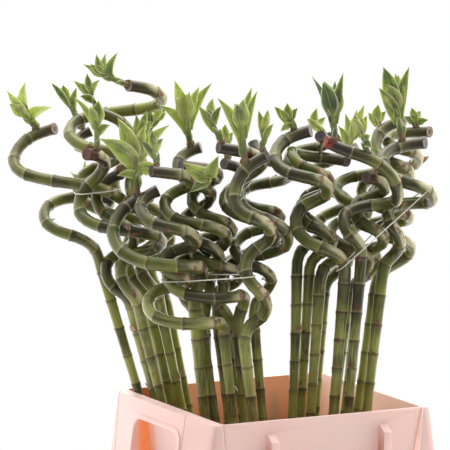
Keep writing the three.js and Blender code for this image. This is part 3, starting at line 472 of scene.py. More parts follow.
def bucket_paint(settings):
    """Moulded plastic: pale, a little see-through, with painted light glowing inwards and painted shade
    deep inside, stains and fine grooves.
    """
    paint = Paint("bucket_plastic", Specular_IOR_Level=0.45, Emission_Strength=0.18,
                  Subsurface_Weight=0.3, Subsurface_Scale=0.012, Subsurface_Radius=(1.0, 0.42, 0.28))
    x, y, z = paint.parts(paint.place())
    under_rim = RIM_HEIGHT - z
    from_middle = x.maths("ABSOLUTE")
    side_y = y * (x * -1).maths("SIGN")
    inner, hollow, fin_side, web = paint.attributes("inner", "hollow", "fin_side", "web")
    # Painted light: a glow painted where light comes through the webs, and through the wall where an
    # opening shows it
    wall = from_middle.step(SKIRT_FROM, SKIRT_FROM - 0.0006) * from_middle.step(0.126, 0.128)
    wall = wall * under_rim.step(0.1, 0.09) * under_rim.step(0.01, 0.018) * (1 - inner)
    pocket = web * (0.7 + from_middle.step(0.138, 0.148) * 0.2) * from_middle.step(0.1575, 0.1495)
    pocket = pocket + wall * side_y.step(0.046, 0.077) * side_y.step(0.079, 0.0775) * 0.4
    cloud = paint.noise(9.0, 3, 0.55)
    drag = paint.noise(1.0, 3, 0.6, paint.vector(x * 260.0, y * 260.0, z * 9.0))
    specks = paint.noise(190.0, 2, 0.6)
    # Painted light and shade on the skirt, inside and by the fins, then stains
    # Painted light: the inner wall on the right is painted as lit, with less of the warm inside colour and
    # a glow of its own
    lit = x.step(0.12, 0.137) * 0.7
    inside_light_and_shade = inner * (1 - lit)
    # Painted shade: the flared left face is painted pinker and darker, to tone down the light falling on it
    left_face_shade = x.step(-0.146, -0.156)
    paint.base = paint.mix(left_face_shade * 0.35, settings.plastic, settings.skirt)
    # Painted light inside the bucket as warm light through the wall, then painted shade darker deep down
    paint.lay(inside_light_and_shade, settings.inside)
    paint.lay(inside_light_and_shade * under_rim.step(0.0, 0.08) * 0.8, settings.depth)
    paint.lay(pocket, settings.glow)
    # Painted light: the insides of the skirts painted pale, and given a pale glow below
    paint.lay(hollow * 0.8, settings.hollow)
    paint.lay(fin_side * under_rim.step(0.008, 0.05) * 0.75, settings.shadow)
    marks = (drag * 0.6 + cloud * 0.4).step(0.58, 0.78)
    # More stain colour towards the bottom of the bucket
    more_towards_bottom = z.step(0.09, 0.0) * 0.22
    paint.lay(cloud.step(0.35, 0.75) * 0.1, settings.stain)
    paint.lay(marks * 0.14, settings.stain)
    paint.lay(specks.step(0.68, 0.76) * cloud.step(0.45, 0.65) * 0.5, settings.stain)
    paint.lay(more_towards_bottom * (0.5 + cloud), settings.stain)
    # Dark lines in the mould grooves: partly dirt, partly painted shade in the groove
    back = (side_y - BACK_GROOVE + under_rim * GROOVE_LEAN).maths("ABSOLUTE")
    front = (side_y - FRONT_GROOVE).maths("ABSOLUTE")
    grooved = back.maths("MINIMUM", front).step(*GROOVE_EDGE)
    grooved = grooved * from_middle.step(SKIRT_FROM, SKIRT_FROM + 0.002)
    grooved = grooved * under_rim.step(GROOVE_REACH + 0.0005, GROOVE_REACH)
    paint.lay(grooved * (0.45 + specks * 0.5), settings.grime_and_groove_shade)
    # Painted light: the lit inner wall, the insides of the skirts and the webs glow through their emission
    shining = paint.mix(inner * lit, srgb(0), srgb(0xF5B78C))
    shining = paint.mix(hollow, shining, srgb(0xFFF2EA))
    paint.shader_input("Emission Color", paint.mix(pocket, shining, settings.glow))
    paint.shader_input("Roughness", 0.36 + drag * 0.14)
    paint.bump(drag * 0.5 + paint.noise(700.0, 2, 0.5) * 0.3 - grooved * 3, 0.12, 0.0004)
    return paint.finished()


def water_paint():
    """Still, slightly green water."""
    paint = Paint("still_water", Roughness=0.02, Transmission_Weight=1.0, IOR=1.33)
    paint.base = (0.78, 0.9, 0.84)
    paint.bump(paint.noise(30.0, 2, 0.5), 0.1, 0.001)
    return paint.finished()


def thread_paint(settings):
    """Pale elastic thread with its fine twist."""
    paint = Paint("elastic_thread", Roughness=0.6, Specular_IOR_Level=0.3)
    fibre = paint.noise(900.0, 2, 0.5)
    paint.base = paint.mix(fibre * 0.35, settings.thread, srgb(0xB9B39C))
    paint.bump(fibre, 0.4, 0.0002)
    return paint.finished()


def select_only(*objects):
    """Deselects everything, then selects these and makes the first one active."""
    for other in list(bpy.context.selected_objects):
        other.select_set(False)
    for one in objects:
        one.select_set(True)
    bpy.context.view_layer.objects.active = objects[0] if objects else None


def put(made):
    """Puts an object into the scene."""
    bpy.context.scene.collection.objects.link(made)
    return made


def twin(original):
    """A copy of an object, with a mesh of its own."""
    copy = original.copy()
    copy.data = original.data.copy()
    return put(copy)


def join(*objects):
    """Joins objects into the first one."""
    select_only(*objects)
    bpy.ops.object.join()


@contextmanager
def all_in_edit_mode():
    """Selects the whole mesh of the active object in edit mode, and ends in object mode."""
    bpy.ops.object.mode_set(mode="EDIT")
    bpy.ops.mesh.select_all(action="SELECT")
    yield
    bpy.ops.object.mode_set(mode="OBJECT")


def places_of(mesh):
    """Where the vertices of a mesh are, one row for each."""
    return np.array([tuple(vertex.co) for vertex in mesh.vertices])


def select_places(mesh_object, chosen):
    """Selects in edit mode the vertices whose place passes a test."""
    bpy.ops.object.mode_set(mode="OBJECT")
    mesh = mesh_object.data
    for edge in mesh.edges:
        edge.select = False
    for face in mesh.polygons:
        face.select = False
    for vertex in mesh.vertices:
        vertex.select = bool(chosen(vertex.co))
    bpy.ops.object.mode_set(mode="EDIT")
    bpy.ops.mesh.select_mode(type="VERT")


def apply_modifier(mesh_object, kind, **settings):
    """Adds a modifier with its settings and applies it."""
    modifier = mesh_object.modifiers.new(kind.lower(), kind)
    for key, value in settings.items():
        setattr(modifier, key, value)
    select_only(mesh_object)
    bpy.ops.object.modifier_apply(modifier=modifier.name)


def finish_piece(mesh_object, name, materials, nodes, smooth_angle=35):
    """Names a piece, gives it its materials, smooths it, hangs it from the root and hides the CAD nodes it
    stands for.
    """
    mesh_object.name = name
    mesh_object.data.name = name
    mesh_object.data.materials.clear()
    for material in materials:
        mesh_object.data.materials.append(material)
    select_only(mesh_object)
    bpy.ops.object.shade_smooth_by_angle(angle=math.radians(smooth_angle))
    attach(mesh_object, "root")
    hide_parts(*nodes)


def write_attribute(mesh, name, values, domain="POINT"):
    """Keeps one number for every vertex of a mesh, or for every face."""
    attribute = mesh.attributes.get(name) or mesh.attributes.new(name, "FLOAT", domain)
    attribute.data.foreach_set("value", np.asarray(values, np.float32))


def merged_copy(node):
    """A copy of a CAD node with its loose triangles merged."""
    copy = put(bpy.data.objects.new(node + "_copy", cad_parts[node].data.copy()))
    select_only(copy)
    with all_in_edit_mode():
        bpy.ops.mesh.remove_doubles(threshold=1e-6)
    return copy


def tube_rings(node, sides):
    """The rings of corners of a tube-shaped CAD node, from its lowest ring on."""
    tube = bmesh.new()
    tube.from_mesh(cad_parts[node].data)
    bmesh.ops.remove_doubles(tube, verts=tube.verts, dist=1e-6)
    ring = sorted(tube.verts, key=lambda corner: corner.co.z)[:sides]
    rings = []
    passed = set()
    while ring:
        rings.append([corner.co.copy() for corner in ring])
        passed.update(ring)
        near = [edge.other_vert(corner) for corner in ring for edge in corner.link_edges]
        ring = list(dict.fromkeys(corner for corner in near if corner not in passed))
    tube.free()
    return rings


def middle_line(node):
    """The middle of each ring of a CAD cane and its radius there, evened over the node rings."""
    rings = tube_rings(node, CANE_SIDES)
    points = [sum(ring, Vector()) / len(ring) for ring in rings]
    radii = np.array([sum((p - c).length for p in ring) / len(ring) for ring, c in zip(rings, points)])
    padded = np.pad(radii, 1, mode="edge")
    evened = (padded[:-2] + 2 * padded[1:-1] + padded[2:]) / 4
    return points, evened


def traced(name, points, radii):
    """A smooth curve through points, with its radius at each."""
    curve = bpy.data.curves.new(name, "CURVE")
    curve.dimensions = "3D"
    curve.twist_mode = "MINIMUM"
    spline = curve.splines.new("BEZIER")
    spline.bezier_points.add(len(points) - 1)
    for knot, point, radius in zip(spline.bezier_points, points, radii):
        knot.co = point
        knot.radius = radius
        knot.handle_left_type = "AUTO"
        knot.handle_right_type = "AUTO"
    return put(bpy.data.objects.new(name, curve))


def settled():
    """The object made last, with its place and turn put into its mesh."""
    made = bpy.context.object
    select_only(made)
    bpy.ops.object.transform_apply(location=True, rotation=True, scale=True)
    return made


def cut_across(size, outline):
    """Cuts the active mesh across X at the shares of its size that an outline gives."""
    for share, _ in outline[1:-1]:
        with all_in_edit_mode():
            bpy.ops.mesh.bisect(plane_co=(share * size, 0, 0), plane_no=(1, 0, 0))


def widen(mesh_object, size, outline, round_tube):
    """Gives a mesh the widths of an outline along X, across Y alone or across Y and Z."""
    for share, width in outline:
        select_places(mesh_object, lambda co, x=share * size: abs(co.x - x) < 1e-5)
        bpy.ops.transform.resize(
            value=(1, width, width if round_tube else 1), center_override=(share * size, 0, 0))
    bpy.ops.object.mode_set(mode="OBJECT")


# The outline of one internode from one node ring to the next: share of its length, and radius
INTERNODE_OUTLINE = [
    (0.0, 1.06), (0.02, 1.01), (0.05, 0.99), (0.1, 0.98), (0.25, 0.97), (0.5, 0.972),
    (0.78, 0.988), (0.9, 1.015), (0.965, 1.075), (1.0, 1.06)]


def model_internode(settings):
    """One internode along X, swollen at both node rings, with a map of turn and length."""
    size = settings.internode
    bpy.ops.mesh.primitive_cylinder_add(
        vertices=settings.sides, radius=CANE_RADIUS, depth=size, end_fill_type="NOTHING",
        location=(size / 2, 0, 0), rotation=(0, math.pi / 2, 0))
    tube = settled()
    cut_across(size, INTERNODE_OUTLINE)
    widen(tube, size, INTERNODE_OUTLINE, round_tube=True)
    map_turns(tube.data, size)
    return tube


def map_turns(mesh, size):
    """A UV map of a tube along X: how far round, and how many sizes along."""
    layer = mesh.uv_layers.active or mesh.uv_layers.new(name="skin")
    layer.name = "skin"
    for face in mesh.polygons:
        middle = math.atan2(face.center.z, face.center.y) / (2 * math.pi)
        for loop in face.loop_indices:
            corner = mesh.vertices[mesh.loops[loop].vertex_index].co
            turn = math.atan2(corner.z, corner.y) / (2 * math.pi)
            turn = middle + (turn - middle + 0.5) % 1 - 0.5
            layer.data[loop].uv = (turn, corner.x / size)


def cut_end(cane, end, inward):
    """Closes one end of a straight cane with the rings of a cut."""
    select_places(cane, lambda co: abs(co.x - end) < 1e-5)
    bpy.ops.mesh.edge_face_add()
    rings = ((0.0007, 0.0002), (0.0014, -0.0003), (0.0022, -0.0002 if inward else 0), (0.0016, 0.0001))
    for width, rise in rings:
        bpy.ops.mesh.inset(thickness=width, depth=rise)
    bpy.ops.object.mode_set(mode="OBJECT")


class BAMBOO_OT_grow_canes(bpy.types.Operator):
    """Grow every cane round the middle line of its CAD node"""

    bl_idname = "bamboo.grow_canes"
    bl_label = "Canes"

    # Distance over which a bend is measured, and the radius that counts as tight
    bend_step = 0.01
    tight_bend = 0.03
    # The tips are cut at a slant, which turns the cuts towards the viewer
    cut_slant = math.radians(30)
    cut_reach = 0.01
    # The last ring is this wide, and what is nearer to its middle than this share is the cut
    tip_radius = CANE_RADIUS * 1.03
    cut_share = 0.985
    # The share of the nodes that still hold a bit of their old sheath
    sheath_share = 0.11

    def execute(self, context):
        settings = context.scene.bamboo_canes
        skin = skin_paint(settings)
        internode = model_internode(settings)
        flake = model_blade()
        draw = random.Random(SEED)
        chance = random.Random(SEED + 2)
        for node in [name for name in CAD_NODES if name.startswith("cane_")]:
            near = sum(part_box(node), Vector()).dot(NEAR) / 2
            # A cane's tone is partly random and partly painted light: canes further back get a higher tone
            # and are painted lighter, as if lit, and the near ones darker, as if in shade
            tone = 0.45 * draw.random() + max(0, 0.3 - near * 4)
            self.grow(node, internode, flake, settings, skin, tone, chance)
        bpy.data.objects.remove(internode)
        bpy.data.objects.remove(flake)
        return {"FINISHED"}

    def grow(self, node, internode, flake, settings, skin, tone, chance):
        points, radii = middle_line(node)
        reach = sum((b - a).length for a, b in zip(points, points[1:]))
        count = max(2, round(reach / settings.internode))
        cane = twin(internode)
        apply_modifier(
            cane, "ARRAY", count=count, use_merge_vertices=True, merge_threshold=1e-5, offset_v=1.0)
        end = count * settings.internode
        cut_end(cane, end, True)
        cut_end(cane, 0, False)
        skin_count = len(cane.data.vertices)
        bits = [
            self.dry_sheath(flake, ring * settings.internode, chance)
            for ring in range(2, count) if chance.random() < self.sheath_share]
        if bits:
            join(cane, *bits)
        places = places_of(cane.data)
        along = places[:, 0]
        across = np.hypot(places[:, 1], places[:, 2]) / self.tip_radius
        on_cut = (along > end - 0.001) & (across < self.cut_share)
        marks = {
            "dry": np.arange(len(places)) >= skin_count, "pith": np.where(on_cut, 1 - across, 0),
            "from_tip": end - along, "tone": np.full(len(places), tone),
            "wax": np.full(len(places), WAXED.get(node, 0))}
        for name, values in marks.items():
            write_attribute(cane.data, name, values)
        path = traced(node + "_path", points, radii * ROUND_SHARE / CANE_RADIUS)
        path.data.use_stretch = True
        path.data.use_deform_bounds = True
        apply_modifier(cane, "CURVE", object=path, deform_axis="POS_X")
        bpy.data.objects.remove(path)
        self.slant_cut(cane.data, end - along)
        write_attribute(cane.data, "callus", self.callus(cane.data, along, skin_count))
        finish_piece(cane, node + "_skin", [skin], [node], smooth_angle=50)

    def slant_cut(self, mesh, from_tip):
        """Moves the corners near the cut tip along the cane, so that the cut turns to the viewer."""
        corners = places_of(mesh)
        tip = Vector(corners[from_tip < self.cut_reach * 0.15].mean(0))
        before = Vector(corners[abs(from_tip - self.cut_reach) < self.cut_reach * 0.5].mean(0))
        axis = (tip - before).normalized()
        toward = (NEAR - axis * NEAR.dot(axis)).normalized()
        slope = math.tan(self.cut_slant) * (1 - abs(axis.dot(NEAR)))
        weight = np.clip(1 - from_tip / self.cut_reach, 0, 1)
        shift = slope * weight * ((corners - np.array(tip)) @ np.array(toward))
        corners -= shift[:, None] * np.array(axis)
        mesh.vertices.foreach_set("co", corners.ravel())
        mesh.update()

    def dry_sheath(self, flake, place, chance):
        """A papery bit of old sheath that stands off a straight cane at one of its nodes."""
        bit = twin(flake)
        turn = 2 * math.pi * chance.random()
        outward = Vector((0, math.cos(turn), math.sin(turn)))
        around = Vector((0, -math.sin(turn), math.cos(turn)))
        size = 0.007 + 0.007 * chance.random()
        spread = 0.3 + 0.5 * chance.random()
        for vertex in bit.data.vertices:
            t, side, _ = vertex.co
            reach = CANE_RADIUS * 1.02 + size * spread * t * t - abs(side) * 0.001
            swing = side * size * 0.5 + size * 0.25 * math.sin(t * 4) * (spread - 0.5)
            vertex.co = Vector((place + size * t, 0, 0)) + outward * reach + around * swing
        apply_modifier(bit, "SOLIDIFY", thickness=0.0003, offset=0.0)
        return bit

    def callus(self, mesh, along, skin_count):
        """How callused the skin is at each corner: up to 1 on the outer side of a right-hand elbow."""
        corners = places_of(mesh)
        steps = np.arange(0, along.max(), self.bend_step)
        order = np.round(along[:skin_count], 5)
        rings = np.unique(order)
        middles = np.array([corners[:skin_count][order == ring].mean(0) for ring in rings])
        line = np.column_stack([np.interp(steps, rings, middles[:, k]) for k in range(3)])
        turning = np.zeros_like(line)
        turning[1:-1] = line[:-2] - 2 * line[1:-1] + line[2:]
        turning /= self.bend_step ** 2
        inward = np.column_stack([np.interp(along, steps, turning[:, k]) for k in range(3)])
        axis = np.column_stack([np.interp(along, rings, middles[:, k]) for k in range(3)])
        radial = corners - axis
        radial /= np.maximum(np.linalg.norm(radial, axis=1, keepdims=True), 1e-6)
        to_right = np.clip(radial @ np.array(RIGHT) / 0.7, 0, 1)
        return np.clip(-(radial * inward).sum(1) * self.tight_bend, 0, 1) * to_right


# The outline of one leaf blade: share of its length, and its width
BLADE_OUTLINE = [
    (0.0, 0.6), (0.06, 0.72), (0.13, 0.88), (0.21, 1.06), (0.3, 1.22), (0.39, 1.31), (0.48, 1.32),
    (0.57, 1.26), (0.66, 1.13), (0.74, 0.94), (0.82, 0.69), (0.89, 0.43), (0.95, 0.19), (1.0, 0.03)]
BLADE_ACROSS = 8


def model_blade():
    """One flat leaf blade, 1 long along X and 1 wide, with a map of its width and length."""
    bpy.ops.mesh.primitive_grid_add(
        x_subdivisions=1, y_subdivisions=BLADE_ACROSS, size=1, location=(0.5, 0, 0))
    blade = settled()
    cut_across(1, BLADE_OUTLINE)
    layer = blade.data.uv_layers.active or blade.data.uv_layers.new(name="blade")
    layer.name = "blade"
    for loop in blade.data.loops:
        corner = blade.data.vertices[loop.vertex_index].co
        layer.data[loop.index].uv = (corner.y + 0.5, corner.x)
    widen(blade, 1, BLADE_OUTLINE, round_tube=False)
    return blade


class Stem:
    """The bent stem of one shoot, from its cane through its middle to its end."""

    sag = 0.04

    def __init__(self, root, end, thick):
        self.root = root
        self.end = end
        self.thick = thick
        self.middle = root.lerp(end, 0.5) - UP * ((root - end).length * self.sag)
        self.growing = (end - self.middle).normalized()


def turned_aside(axis, angle):
    """A way square to an axis, turned round it by an angle."""
    return Matrix.Rotation(angle, 3, axis) @ axis.orthogonal().normalized()


class BAMBOO_OT_grow_shoots(bpy.types.Operator):
    """Grow the leafy side shoots, each leaf to its own tip in the CAD node"""

    bl_idname = "bamboo.grow_shoots"
    bl_label = "Shoots"

    # How deep a blade is folded along its keel, and how far it twists towards its tip
    fold = 0.26
    twist = 1.2
    # A blade starts inside the stem, at this share of the stem's radius
    leaf_foot = 0.75
    # The stem has one sheath tip on each such length, up to a few
    sheath_step = 0.011
    most_sheaths = 3
    husk_count = 4
    # Turns that keep one small leaf from standing before the next
    sheath_turn = 2.4
    heart_turn = 2.6
    husk_turn = 1.7
    # A leaf belongs to a CAD tip that is seen as near as this to its own
    same_place = 0.0003

    def execute(self, context):
        settings = context.scene.bamboo_shoots
        paints = [leaf_paint(settings), stem_paint(settings)]
        blade = model_blade()
        draw = random.Random(SEED + 1)
        for bunch, rows in SHOOTS.items():
            for number, (cane, back, end, thick, age, tips) in enumerate(rows, 1):
                node = f"shoot_{bunch}_{number}"
                corners = list({tuple(v.co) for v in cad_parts[node].data.vertices})
                corners = [(Vector(corner), as_seen(Vector(corner))) for corner in corners]
                thick *= 0.001
                root = self.point_back(f"cane_{bunch}_{cane}", back * 0.001)
                stem = Stem(root, self.stem_end(node, corners, end, thick), thick)
                drawn = 0.1 + 0.5 * draw.random()
                age = drawn if age is None else age
                blades, reach = self.leaves(blade, stem, corners, tips, age, draw, len(node) * 13)
                blades += self.small_leaves(blade, stem, reach, age, draw)
                self.assemble(node, stem, blades, len(tips), settings, paints)
        bpy.data.objects.remove(blade)
        return {"FINISHED"}

    def leaves(self, blade, stem, corners, tips, age, draw, start):
        """The large leaves of a shoot, and how far they reach past the end of its stem."""
        reach = 0
        blades = []
        for i, (right, up, width) in enumerate(tips):
            target = Vector((right, up)) * 0.001
            tip, seen = min(corners, key=lambda corner: (corner[1].xy - target).length)
            if (seen.xy - target).length > self.same_place:
                continue
            axis = stem.middle.lerp(stem.end, (i + 1) / len(tips))
            outward = tip - axis
            outward = (outward - stem.growing * outward.dot(stem.growing)).normalized()
            foot = axis + outward * (stem.thick * self.leaf_foot)
            lean = math.radians((i * 47 + start) % 50 - 25)
            tone = age * 0.75 + 0.35 * draw.random() * (1 - i / 9)
            blades.append(self.place_blade(blade, foot, tip, stem.growing, width * 0.001, lean, tone))
            reach = max(reach, (tip - stem.end).dot(stem.growing))
        return blades, reach

    def assemble(self, node, stem, blades, count, settings, paints):
        """Joins the leaves and the stem of a shoot, each with its own material."""
        shoot = blades[0]
        join(*blades)
        apply_modifier(shoot, "SOLIDIFY", thickness=settings.thickness, offset=0.0)
        stalk = self.stalk(node, stem, count)
        for face in stalk.data.polygons:
            face.material_index = 1
        for material in paints:
            shoot.data.materials.append(material)
            stalk.data.materials.append(material)
        join(shoot, stalk)
        places = [0] * len(shoot.data.polygons)
        shoot.data.polygons.foreach_get("material_index", places)
        finish_piece(shoot, node + "_leaves", paints, [node], smooth_angle=60)
        shoot.data.polygons.foreach_set("material_index", places)

    def small_leaves(self, blade, stem, reach, age, draw):
        """The sheath tips up the stem, two rolled leaves in the heart, and the husks at the foot."""
        thick = stem.thick
        count = min(self.most_sheaths, int((stem.end - stem.root).length / self.sheath_step))
        made = []
        for i in range(count):
            place = 0.6 + 1.3 * i / count
            low = place < 1
            axis = stem.root.lerp(stem.middle, place) if low else stem.middle.lerp(stem.end, place - 1)
            outward = turned_aside(stem.growing, self.sheath_turn * i + 6 * draw.random())
            tip = outward * (thick + 0.003) + stem.growing * (0.012 + 0.006 * draw.random())
            made.append(self.small_leaf(
                blade, axis, outward * thick * 0.75, tip, stem.growing, thick * 1.3, age * 0.6 + 0.2))
        turned = 6 * draw.random()
        for i in range(2):
            outward = turned_aside(stem.growing, turned + i * self.heart_turn)
            tip = stem.growing * reach * (0.62 + 0.2 * draw.random()) + outward * reach * 0.2
            made.append(self.small_leaf(
                blade, stem.end, outward * thick * 0.3, tip, stem.growing, reach * 0.3, age * 0.5))
        growing = (stem.middle - stem.root).normalized()
        foot = stem.root + growing * CANE_RADIUS * 1.02
        for i in range(self.husk_count):
            wobble = 0.5 + 0.5 * math.sin(7 * i + stem.root.x * 900)
            outward = turned_aside(growing, self.husk_turn * i + wobble)
            tip = outward * (thick * 1.1 + 0.002 * wobble) + growing * (0.008 - 0.005 * wobble)
            husk = self.small_leaf(blade, foot, outward * thick * 0.8, tip, growing, thick * 1.2, 0.5)
            write_attribute(husk.data, "dry", np.ones(len(husk.data.vertices)))
            made.append(husk)
        return made

    def small_leaf(self, blade, start, foot, tip, growing, width, tone):
        """A small upright leaf, with its foot and its tip given from a start."""
        return self.place_blade(blade, start + foot, start + tip, growing, width, 0, tone)

    def point_back(self, cane, back):
        """The point on a cane's middle line at a distance back from its cut tip."""
        points, _ = middle_line(cane)
        for far, close in zip(points[::-1], points[-2::-1]):
            step = (far - close).length
            if back <= step:
                return far.lerp(close, back / step)
            back -= step
        raise RuntimeError(f"{cane} is shorter than the way back to its shoot")

    def stem_end(self, node, corners, end, thick):
        """The end of the stem, at the depth of the CAD corners that are seen round it."""
        target = Vector(end) * 0.001
        depths = [seen.z for _, seen in corners if (seen.xy - target).length < thick * 0.95]
        if not depths:
            raise RuntimeError(f"{node} has no corner where its stem ends")
        return placed(target.x, target.y, float(np.median(depths)))

    def place_blade(self, blade, foot, tip, growing, width, lean, tone):
        """A copy of the blade, bent from its foot to its tip and folded along its keel."""
        copy = twin(blade)
        bend = foot + growing * (tip - foot).length * 0.45
        for vertex in copy.data.vertices:
            t, side, _ = vertex.co
            point = foot * (1 - t) ** 2 + bend * (2 * t * (1 - t)) + tip * t * t
            along = ((bend - foot) * (1 - t) + (tip - bend) * t).normalized()
            facing = (NEAR - along * NEAR.dot(along)).normalized()
            facing = Matrix.Rotation(lean + (tone - 0.4) * self.twist * t, 3, along) @ facing
            across = along.cross(facing).normalized()
            depth = 1.6 - 1.2 * min(t / 0.4, 1) ** 0.5
            raised = abs(side) ** 1.25 * 2 * self.fold * width * depth
            wave = math.sin(t * 9 + side * 5 + tone * 20) * 0.05 * width * abs(side) * 2
            vertex.co = point + across * (side * width) + facing * (raised + wave)
        write_attribute(copy.data, "tone", np.full(len(copy.data.vertices), tone))
        return copy

    def stalk(self, node, stem, count):
        """The stem, with a small collar where each leaf's sheath ends."""
        root, middle, end, thick = stem.root, stem.middle, stem.end, stem.thick
        points = [root, root.lerp(middle, 0.5), middle]
        radii = [thick * 1.05, thick * 1.02, thick * 1.08]
        for i in range(count):
            spot = middle.lerp(end, (i + 1) / count)
            points += [spot - stem.growing * 0.0008, spot + stem.growing * 0.0008]
            size = thick * (1.1 - 0.25 * (i + 1) / count)
            radii += [size * 1.05, size * 0.92]
        points.append(end + stem.growing * thick * 2.3)
        radii.append(thick * 0.12)
        path = traced(node + "_stem", points, radii)
        path.data.bevel_depth = 1.0
        path.data.bevel_resolution = 3
        path.data.resolution_u = 4
        path.data.use_fill_caps = True
        select_only(path)
        bpy.ops.object.convert(target="MESH")
        stalk = bpy.context.object
        up = [(v.co - root).dot(end - root) / (end - root).length ** 2 for v in stalk.data.vertices]
        write_attribute(stalk.data, "up", up)
        return stalk


class BAMBOO_OT_tie_bunches(bpy.types.Operator):
    """Round the elastic threads that hold the bunches together"""

    bl_idname = "bamboo.tie_bunches"
    bl_label = "Ties"

    thread_radius = 0.0007

    def execute(self, context):
        paint = thread_paint(context.scene.bamboo_bucket)
        for node in [name for name in CAD_NODES if name.startswith("tie_")]:
            tie = merged_copy(node)
            with all_in_edit_mode():
                bpy.ops.transform.shrink_fatten(value=self.thread_radius)
            apply_modifier(tie, "SUBSURF", levels=2, render_levels=2)
            finish_piece(tie, node + "_thread", [paint], [node], smooth_angle=80)
        return {"FINISHED"}


class BAMBOO_OT_mould_bucket(bpy.types.Operator):
    """Round the edges of the bucket and give it its plastic"""

    bl_idname = "bamboo.mould_bucket"
    bl_label = "Bucket"

    # The lip at the rim stays unmarked, and a normal is along an axis from this share on
    lip = 0.004
    along_axis = 0.7
    # How far from the middle the insides of the skirts, the webs and the corners start
    skirts_past = 0.13
    webs_past = 0.135
    corners_from = 0.12
    # How high the webs start, and how far a fin's side is out of the wall
    webs_above = 0.18
    fins_proud = 0.0015

    def execute(self, context):
        settings = context.scene.bamboo_bucket
        bucket = merged_copy("bucket")
        with all_in_edit_mode():
            bpy.ops.mesh.dissolve_limited(angle_limit=math.radians(0.5))
        apply_modifier(
            bucket, "BEVEL", width=settings.edge, segments=2, limit_method="ANGLE",
            angle_limit=math.radians(40))
        names = ("inner", "hollow", "web", "fin_side")
        marks = [self.face_marks(face.center, face.normal) for face in bucket.data.polygons]
        for name, values in zip(names, zip(*marks)):
            write_attribute(bucket.data, name, values, "FACE")
        finish_piece(bucket, "bucket_shell", [bucket_paint(settings)], ["bucket"])
        return {"FINISHED"}

    def face_marks(self, middle, normal):
        """Whether a face is inside the bucket, inside a skirt, on a web, and on a fin's side."""
        x, y, z = middle
        wall = WALL_AT_RIM - (WALL_AT_RIM - WALL_AT_FLOOR) * (RIM_HEIGHT - z) / RIM_HEIGHT
        low = z < RIM_HEIGHT - self.lip
        within = max(abs(x), abs(y)) < wall
        on_floor = normal.z > self.along_axis and z < 0.02
        facing_in = x * normal.x + y * normal.y < -0.02 or on_floor
        in_skirt = x * normal.x < -0.02 and abs(x) > self.skirts_past
        web = abs(x) > self.webs_past and abs(y) < self.corners_from and z > self.webs_above
        facing_middle = abs(normal.y) > self.along_axis and y * normal.y < 0
        on_fin = abs(y) > wall + self.fins_proud and abs(x) < self.corners_from
        return (
            facing_in and low and within, in_skirt and low and not within,
            web and facing_middle, on_fin and abs(normal.x) > self.along_axis)


class BAMBOO_OT_fill_water(bpy.types.Operator):
    """Give the water in the bucket its material"""

    bl_idname = "bamboo.fill_water"
    bl_label = "Water"

    def execute(self, context):
        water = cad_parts["water"]
        water.data.materials.clear()
        water.data.materials.append(water_paint())
        return {"FINISHED"}


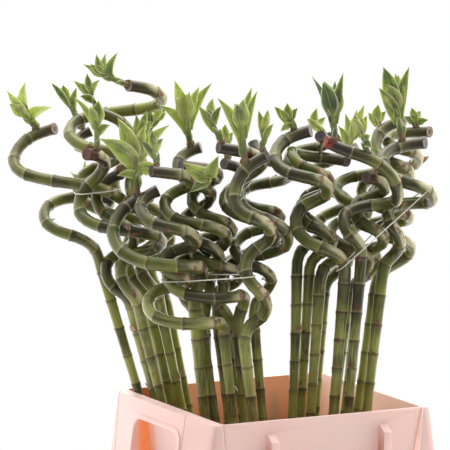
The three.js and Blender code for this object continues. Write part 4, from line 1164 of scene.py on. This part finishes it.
class BAMBOO_OT_set_stage(bpy.types.Operator):
    """Set the floor, the light and the camera"""

    bl_idname = "bamboo.set_stage"
    bl_label = "Stage"

    # Where the middle of the picture lies, as seen from the middle of the rim
    aim_right = -0.0608
    aim_up = 0.2208
    # The front light turns into the back light between these shares of the way behind
    light_turns = (-0.7, 0.8)

    def execute(self, context):
        settings = context.scene.bamboo_stage
        self.floor(settings)
        self.daylight(context, settings)
        self.softbox("softbox_right", (1.4, -1.0, 1.5), 1.6, 5)
        self.softbox("softbox_top", (0.2, 0.5, 2.3), 1.8, 22)
        self.camera(context, settings)
        context.scene.view_settings.view_transform = "Standard"
        return {"FINISHED"}

    def floor(self, settings):
        bpy.ops.mesh.primitive_circle_add(
            vertices=96, radius=settings.floor, fill_type="NGON", location=(0, 0, -0.0005))
        floor = bpy.context.object
        floor.name = "floor"
        pale = Paint("pale_floor", Base_Color=(0.86, 0.86, 0.86, 1), Roughness=0.8)
        floor.data.materials.append(pale.material)

    def softbox(self, name, place, size, power):
        light = bpy.data.objects.new(name, bpy.data.lights.new(name, "AREA"))
        light.data.size = size
        light.data.energy = power
        self.aimed(light, Vector(place), Vector((0, 0, 0.4)))

    def aimed(self, made, place, target):
        """Stands a light or the camera at a place, turned to its target."""
        made.location = place
        made.rotation_euler = (target - place).to_track_quat("-Z", "Y").to_euler()
        return put(made)

    def daylight(self, context, settings):
        """A white surround that is seen white and gives more light from behind than from the front."""
        world = bpy.data.worlds.new("white_surround")
        context.scene.world = world
        world.use_nodes = True
        sky = Nodes(world.node_tree)
        way = sky.node("ShaderNodeTexCoord", output="Generated")
        back = -NEAR + RIGHT * -0.05 + UP * 0.35
        behind = sky.node("ShaderNodeVectorMath", {"operation": "DOT_PRODUCT"}, {0: way, 1: back}, "Value")
        rise = settings.back_light - settings.front_light
        strength = behind.step(*self.light_turns) * rise + settings.front_light
        lit = sky.node("ShaderNodeBackground", None, {"Strength": strength})
        seen = sky.node("ShaderNodeBackground", None, {"Color": (1, 1, 1)})
        seen_at = sky.node("ShaderNodeLightPath", output="Is Camera Ray")
        mixed = sky.node("ShaderNodeMixShader", None, {0: seen_at, 1: lit, 2: seen})
        sky.plug(mixed, sky.tree.nodes["World Output"].inputs[0])

    def camera(self, context, settings):
        camera = bpy.data.objects.new("camera", bpy.data.cameras.new("camera"))
        camera.data.lens = settings.lens
        camera.data.sensor_width = 36
        camera.data.clip_end = 100
        back = NEAR * math.cos(RISE) + UP * math.sin(RISE)
        upward = UP * math.cos(RISE) - NEAR * math.sin(RISE)
        rim = UP * RIM_HEIGHT
        target = rim + RIGHT * self.aim_right + upward * self.aim_up
        context.scene.camera = self.aimed(camera, rim + back * settings.distance, target)


OPERATORS = [
    BAMBOO_OT_mould_bucket, BAMBOO_OT_fill_water, BAMBOO_OT_grow_canes, BAMBOO_OT_grow_shoots,
    BAMBOO_OT_tie_bunches, BAMBOO_OT_set_stage]


class BAMBOO_PT_panel(bpy.types.Panel):
    """Lists the steps that build the plant"""

    bl_idname = "BAMBOO_PT_panel"
    bl_label = "Lucky Bamboo"
    bl_space_type = "VIEW_3D"
    bl_region_type = "UI"
    bl_category = "Bamboo"

    def draw(self, context):
        for operator in OPERATORS:
            self.layout.operator(operator.bl_idname)


SETTINGS = {
    "bamboo_canes": CaneSettings, "bamboo_shoots": ShootSettings, "bamboo_bucket": BucketSettings,
    "bamboo_stage": StageSettings}
CLASSES = [*SETTINGS.values(), *OPERATORS, BAMBOO_PT_panel]


def register():
    for each in CLASSES:
        bpy.utils.register_class(each)
    for name, group in SETTINGS.items():
        setattr(bpy.types.Scene, name, PointerProperty(type=group))


def unregister():
    for name in SETTINGS:
        delattr(bpy.types.Scene, name)
    for each in reversed(CLASSES):
        bpy.utils.unregister_class(each)


def main():
    register()
    select_only()
    for operator in OPERATORS:
        group, step = operator.bl_idname.split(".")
        getattr(getattr(bpy.ops, group), step)()


if __name__ == "__main__":
    main()
